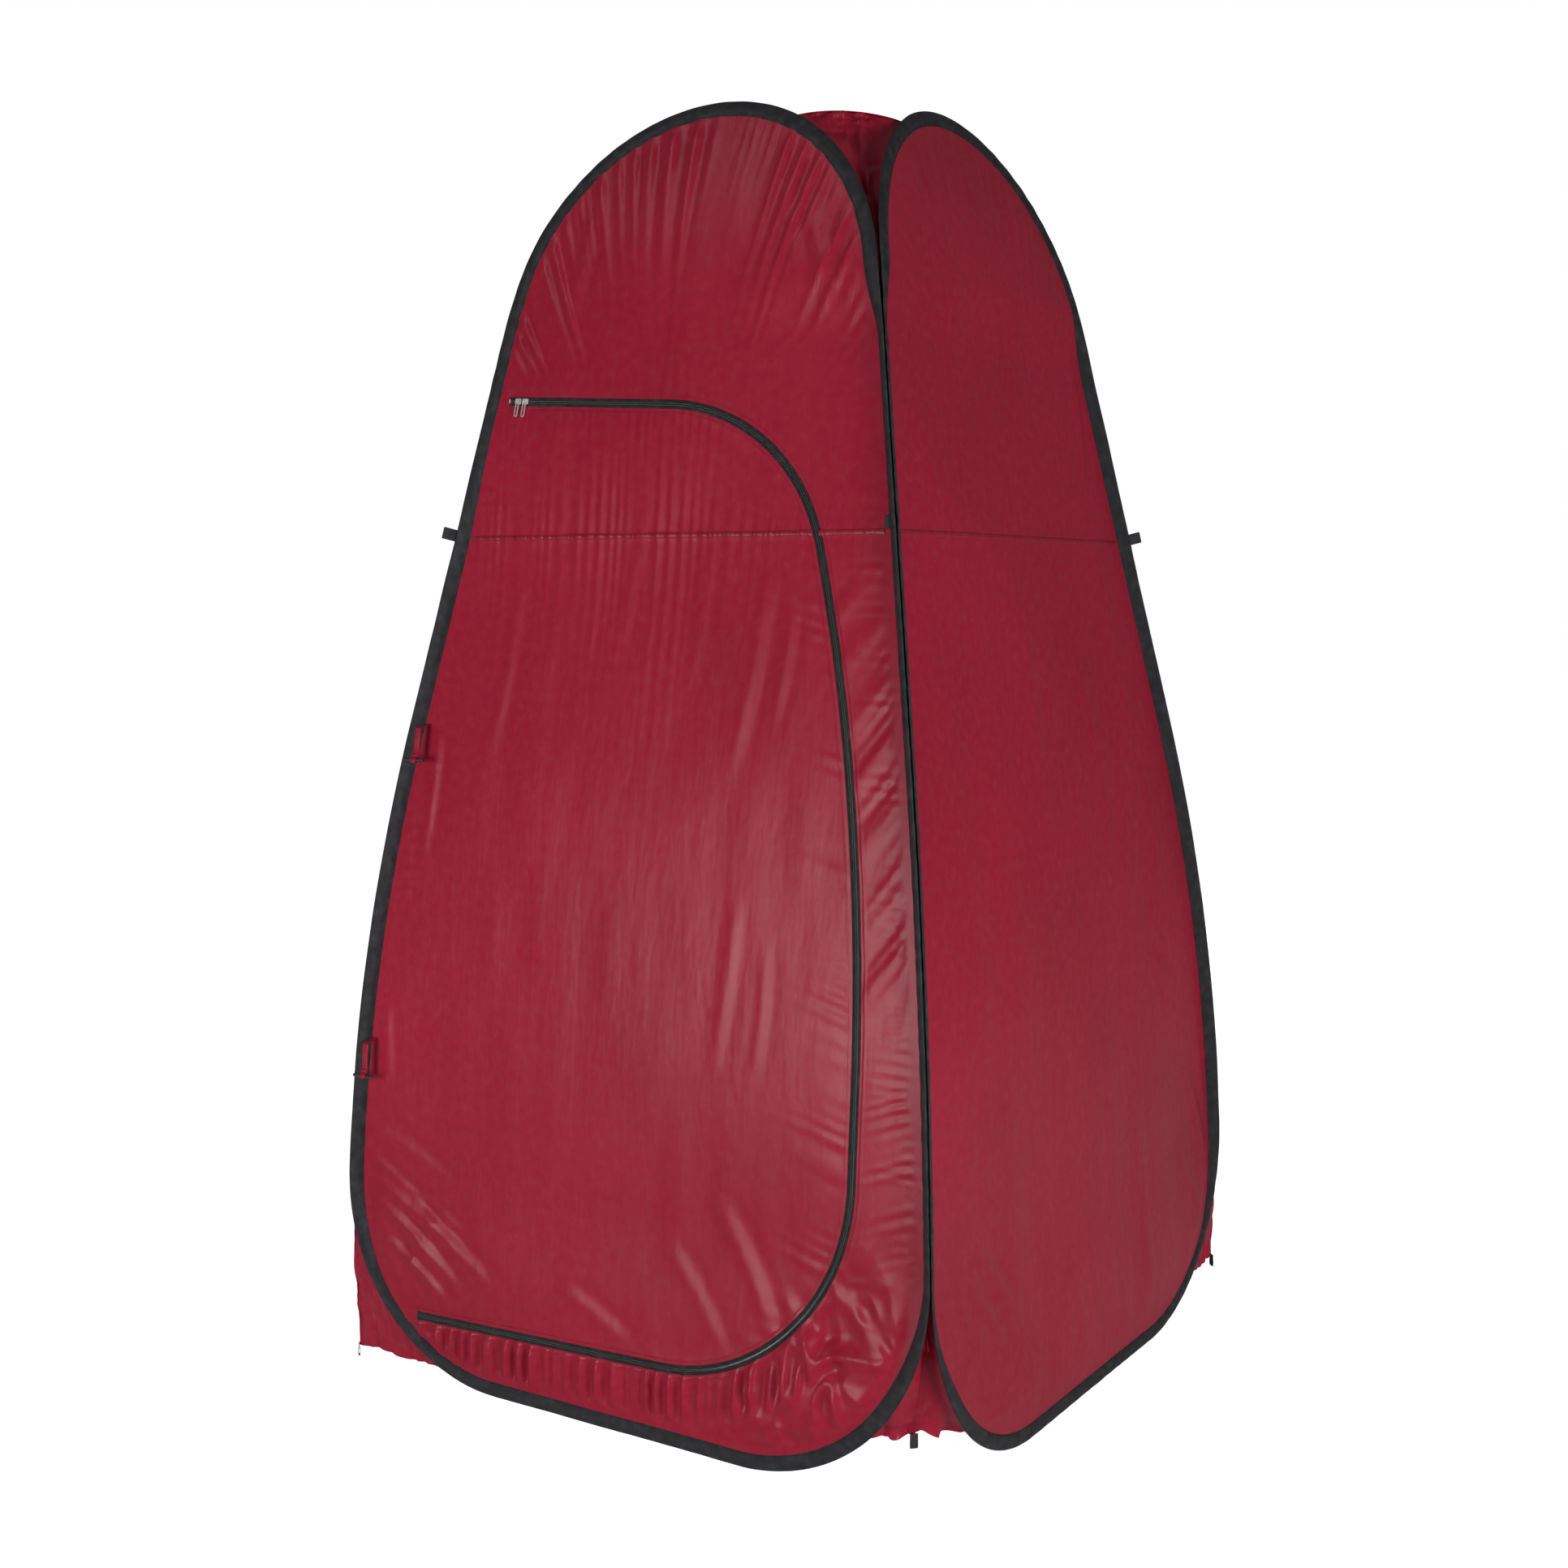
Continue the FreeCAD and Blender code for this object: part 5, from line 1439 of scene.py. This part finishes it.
def seam_lap(name, turns, start, end):
    """Folded lap of the level seam: a strip whose upper edge stands a little proud of the wall, dyed deeper
    as painted shade under the fold.
    """
    across = np.linspace(0, 1, 7)[None]
    z = SEAM_HEIGHT + 0.0005 - SEAM_LAP * across + np.zeros((320, 1))
    x = np.linspace(start, end, 320)[:, None] + 0 * z
    proud = 0.0013 * smooth(across / 0.12) * smooth((1 - across) / 0.25) + 0.0001 - 0.0005 * across
    lap = mesh_piece(name, face_point(x, z, FACE_OFFSETS[turns](x, z) + proud, turns),
                     grid_faces(*x.shape),
                     cloth_uv(x, z), SEAM_SHADE_TAFFETA)
    thicken(lap)
    declare_cloth(face_point(x, z, 0, turns))
    return lap


ZIP_RIGHT = float(np.interp(-SEAM_HEIGHT, -DOOR_LINE[130:1000, 1], DOOR_LINE[130:1000, 0]))
for quarter in range(4):
    for row, drop in (("upper", 0.0020), ("lower", 0.0080)):
        z = SEAM_HEIGHT - drop
        end = float(half_width(z, WALL_INSET)) - 0.0015
        name = FACES[quarter] + "_seam_stitches_" + row
        if quarter:
            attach(stitches(name, level_line(z, -end, end), quarter, on_cloth(quarter)),
                    FACES[quarter] + "_panel")
            continue
        hinge = float(hinge_x(z))
        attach(stitches(name + "_left", level_line(z, -end, hinge - 0.002), 0, on_cloth(0)),
                "front_panel")
        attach(stitches(name + "_right", level_line(z, ZIP_RIGHT + 0.0085, end), 0, on_cloth(0)),
                "front_panel")
        bend_at_hinge(stitches(name + "_door", level_line(z, hinge + 0.002, ZIP_RIGHT - 0.0085), 0,
                               on_cloth(0)))
    path = loop_path(WALL_INSET - 0.0022, 3000)
    path = np.vstack([path, path[:1]])
    inner = stitches(FACES[quarter] + "_sleeve_stitches",
                     path + np.stack([fin_gain(path[:, 0], path[:, 1], quarter), 0 * path[:, 0]],
                                     -1), quarter,
                     lambda x, z, q=quarter: dish(x, z, q)
                     + 0.0016 * (1 - 0.5 * np.sin(side_roll(x, z, q))),
                     material=SLEEVE_CLOTH)
    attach(inner, FACES[quarter] + "_panel")
    end = float(half_width(SEAM_HEIGHT, WALL_INSET)) - 0.001
    if quarter:
        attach(seam_lap(FACES[quarter] + "_seam_lap", quarter, -end, end),
                FACES[quarter] + "_panel")
    else:
        hinge = float(hinge_x(SEAM_HEIGHT))
        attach(seam_lap("front_seam_lap_left", 0, -end, hinge - 0.0008), "front_panel")
        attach(seam_lap("front_seam_lap_right", 0, ZIP_RIGHT + 0.0055, end), "front_panel")
        bend_at_hinge(seam_lap("front_seam_lap_door", 0, hinge + 0.0008, ZIP_RIGHT - 0.0055))
for row, out in (("edge", 0.0068), ("outer", 0.0135)):
    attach(stitches("zip_stitches_frame_" + row, DOOR_LINE + DOOR_NORMALS * out, 0, on_cloth(0)),
            "front_panel")
    bend_at_hinge(stitches("zip_stitches_door_" + row, DOOR_LINE - DOOR_NORMALS * out, 0,
                           on_cloth(0)))


# ---- straps and webbing ---------------------------------------------------------------------
def ribbon(name, path, across, width, thickness, material, body, nodes, closed=False,
           wave=0.0):
    """Flat band carried along a path in space; across is the direction of its width.

    The section is a rectangle with eased corners; wave ripples it from edge to edge.
    """
    rows = 60
    path = resample(np.asarray(path, float), rows, closed)
    along = np.roll(path, -1, 0) - np.roll(path, 1, 0) if closed else np.gradient(path, axis=0)
    along /= np.linalg.norm(along, axis=1)[:, None]
    across = np.broadcast_to(np.asarray(across, float), path.shape)
    across = across - (across * along).sum(-1)[:, None] * along
    across /= np.linalg.norm(across, axis=1)[:, None]
    upward = np.cross(along, across)
    u = np.linspace(-1, 1, 9)
    belly = (1 - 0.6 * np.abs(u) ** 6) * thickness / 2
    side = np.concatenate([u, u[::-1]]) * width / 2
    rise = np.concatenate([belly, -belly[::-1]])
    run = np.linspace(0, 1, rows)[:, None]
    ends = np.ones((rows, 1)) if closed else np.clip(np.minimum(run, 1 - run) * rows, 0, 1)
    ripple = (wave * (np.sin(9 * run + 2.4 * side / width)
                      + 0.6 * np.sin(23 * run - 5 * side / width)))
    places = (path[:, None] + across[:, None] * side[None, :, None]
              + upward[:, None] * (rise[None] * ends + ripple)[..., None])
    length = path_length(path, closed)
    uv = np.stack([np.broadcast_to(run * length, places.shape[:2]),
                   np.broadcast_to(side, places.shape[:2])], -1)
    band = mesh_piece(name, places, grid_faces(*places.shape[:2], closed, True), uv, material)
    outwards(band)
    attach(band, body)
    if nodes:
        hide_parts(*nodes)
    return band


def local_path(x, z, steps, turns=0):
    """Path on a face from (across, up, out) steps about a point of it."""
    steps = np.asarray(steps, float)
    return face_point(x + steps[:, 0], z + steps[:, 1], steps[:, 2], turns)


STRAP_HEIGHTS = {"upper": 1.106, "lower": 0.562}
FACE_ACROSS = (1.0, 0.0, 0.0)
for name, z in STRAP_HEIGHTS.items():
    x = -(float(side_curve(z)) - WALL_INSET)
    wall_off = float(dish(np.array(x), np.array(z), 0))
    ribbon("strap_ribbon_" + name, local_path(x, z, [
        (0, 0.000, 0.0052), (0.0004, -0.015, 0.0056), (-0.0005, -0.032, 0.0050),
        (0.0006, -0.0515, 0.0052),
        (0, -0.0560, 0.0046), (0, -0.0600, 0.0068), (0, -0.0596, 0.0104), (0, -0.0560, 0.0122),
        (0, -0.0524, 0.0104), (0, -0.0500, 0.0068), (0, -0.044, 0.0064)]),
        FACE_ACROSS, 0.012, 0.0011, TAFFETA, "strap_" + name + "_body",
        ["strap_" + name], wave=0.0002)
    ribbon("strap_root_" + name, local_path(x, z, [
        (0.001, 0.010, wall_off - 0.002), (0.001, 0.006, wall_off + 0.004), (0, 0.004, -0.006),
        (0, 0.0005, 0.0045)]),
        FACE_ACROSS, 0.012, 0.0012, TAFFETA, "front_panel", [])
    back = wall_off - 0.006
    ribbon("keeper_elastic_" + name, local_path(x, z, [
        (0, 0, back + 0.002), (0.001, -0.022, back), (0, -0.043, back + 0.0005),
        (0, -0.045, back - 0.0012),
        (0, -0.043, back - 0.0026), (-0.001, -0.022, back - 0.0030), (0, 0.0, back + 0.0008)]),
        FACE_ACROSS, 0.012, 0.0009, ELASTIC, "front_panel", ["keeper_" + name])

WEBBING_WIDTH = 0.020
for quarter in (1, 2, 3):
    z = SEAM_HEIGHT
    at = float(side_curve(z))
    lean = float(face_lean(z))
    up = np.array([-math.sin(lean), math.sin(lean), math.cos(lean)])
    up /= np.linalg.norm(up)
    outward = np.array([1.0, -1.0, 0.0]) / math.sqrt(2)
    outward = outward - up * (outward @ up)
    outward /= np.linalg.norm(outward)
    beside = np.cross(up, outward)
    steps = np.array([(-0.010, 0.0006), (-0.002, 0.0007), (0.008, 0.0014), (0.016, 0.0016),
                      (0.0198, 0.0),
                      (0.016, -0.0016), (0.008, -0.0014), (-0.002, -0.0007), (-0.010, -0.0006)])
    path = np.array([at, -at, z]) + steps[:, :1] * outward + steps[:, 1:] * beside
    loop = ribbon(CORNERS[quarter] + "_guy_webbing", turn(path, quarter),
                  turn(up[None], quarter)[0], WEBBING_WIDTH,
                  0.0010, WEBBING, FACES[quarter] + "_panel",
                  [CORNERS[quarter] + "_guy_loop"])

edge = float(side_curve(SEAM_HEIGHT)) - EDGE_INSET
middle = SEAM_HEIGHT + WEBBING_WIDTH / 2
inwards = np.array([0.0005, 0.006, 0.012, 0.0178, 0.022, 0.026])
on_fin = -np.minimum(inwards, SLEEVE_WIDTH * math.cos(FIN_ROLL)) + 0.0046
ribbon("front_right_guy_webbing", face_point(edge - inwards, middle, on_fin), (0, 0, 1.0),
       WEBBING_WIDTH, 0.0022,
       WEBBING, "front_panel", ["front_right_guy_loop"], wave=0.0002)

for quarter in range(4):
    corner = CORNERS[quarter]
    hem = HEM_HEIGHT[corner]
    low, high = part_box(corner + "_peg_loop")
    x, y = (low.x + high.x) / 2, (low.y + high.y) / 2
    outward = turn(np.array([[1.0, -1.0, 0.0]]) / math.sqrt(2), quarter)[0]
    sideways = turn(np.array([[1.0, 1.0, 0.0]]) / math.sqrt(2), quarter)[0]
    tall = high.z - low.z
    steps = np.array([(0.0007, 1.04), (0.0008, 0.7), (0.0016, 0.35), (0.0011, 0.08), (0.0, 0.01),
                      (-0.0011, 0.08), (-0.0016, 0.35), (-0.0008, 0.7), (-0.0007, 1.04)])
    path = (np.array([x, y, low.z]) + steps[:, :1] * outward
            + steps[:, 1:] * tall * np.array([0, 0, 1.0]))
    body = body_of(NODES[corner + "_peg_loop"])[0]
    ribbon(corner + "_peg_webbing", path, sideways, 0.012, 0.0009, WEBBING, body,
           [corner + "_peg_loop"])

# The patch over the zip's parked end, stitched flat on the cloth and stopped at the sleeve's edge.
u = np.array(DOOR_CORNERS[1]) - DOOR_CORNERS[0]
u = u / np.linalg.norm(u)
PATCH_LENGTH = 0.040
start = tail_start()
run, across = np.meshgrid(np.linspace(0, PATCH_LENGTH, 30), np.linspace(-ZIP_WIDTH, ZIP_WIDTH, 24),
                          indexing="ij")
x = start[0] - u[0] * run - u[1] * across
z = start[1] - u[1] * run + u[0] * across
x = np.maximum(x, -(half_width(z, WALL_INSET) - 0.0008))
rim = np.minimum(np.minimum(run, PATCH_LENGTH - run), ZIP_WIDTH - np.abs(across))
lift = 0.0006 + 0.0007 * smooth(rim / 0.002) + 0.0004 * patchy(x, z, 0.008, 77)
patch = mesh_piece("zip_end_patch", face_point(x, z, front_offset(x, z) + lift),
                   grid_faces(*x.shape)[:, ::-1],
                   cloth_uv(x, z), TAFFETA)
thicken(patch)
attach(patch, "front_panel")
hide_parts("zip_patch")
grid_area(face_point(x, z))


# ---- carried-over parts ---------------------------------------------------------------------
FINISHES = {
    "spring": STEEL, "ferrule": STEEL, "slider": NICKEL, "pull": NICKEL, "stop": NICKEL,
    "patch": TAFFETA,
    "toggle": BLACK_PLASTIC, "strap": TAFFETA, "keeper": ELASTIC, "guy_loop": WEBBING,
    "peg_loop": WEBBING}
for node, solid in NODES.items():
    for word, finish in FINISHES.items():
        if word in node and not solid.hide_render:
            solid.data.materials.clear()
            solid.data.materials.append(finish)

low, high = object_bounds()
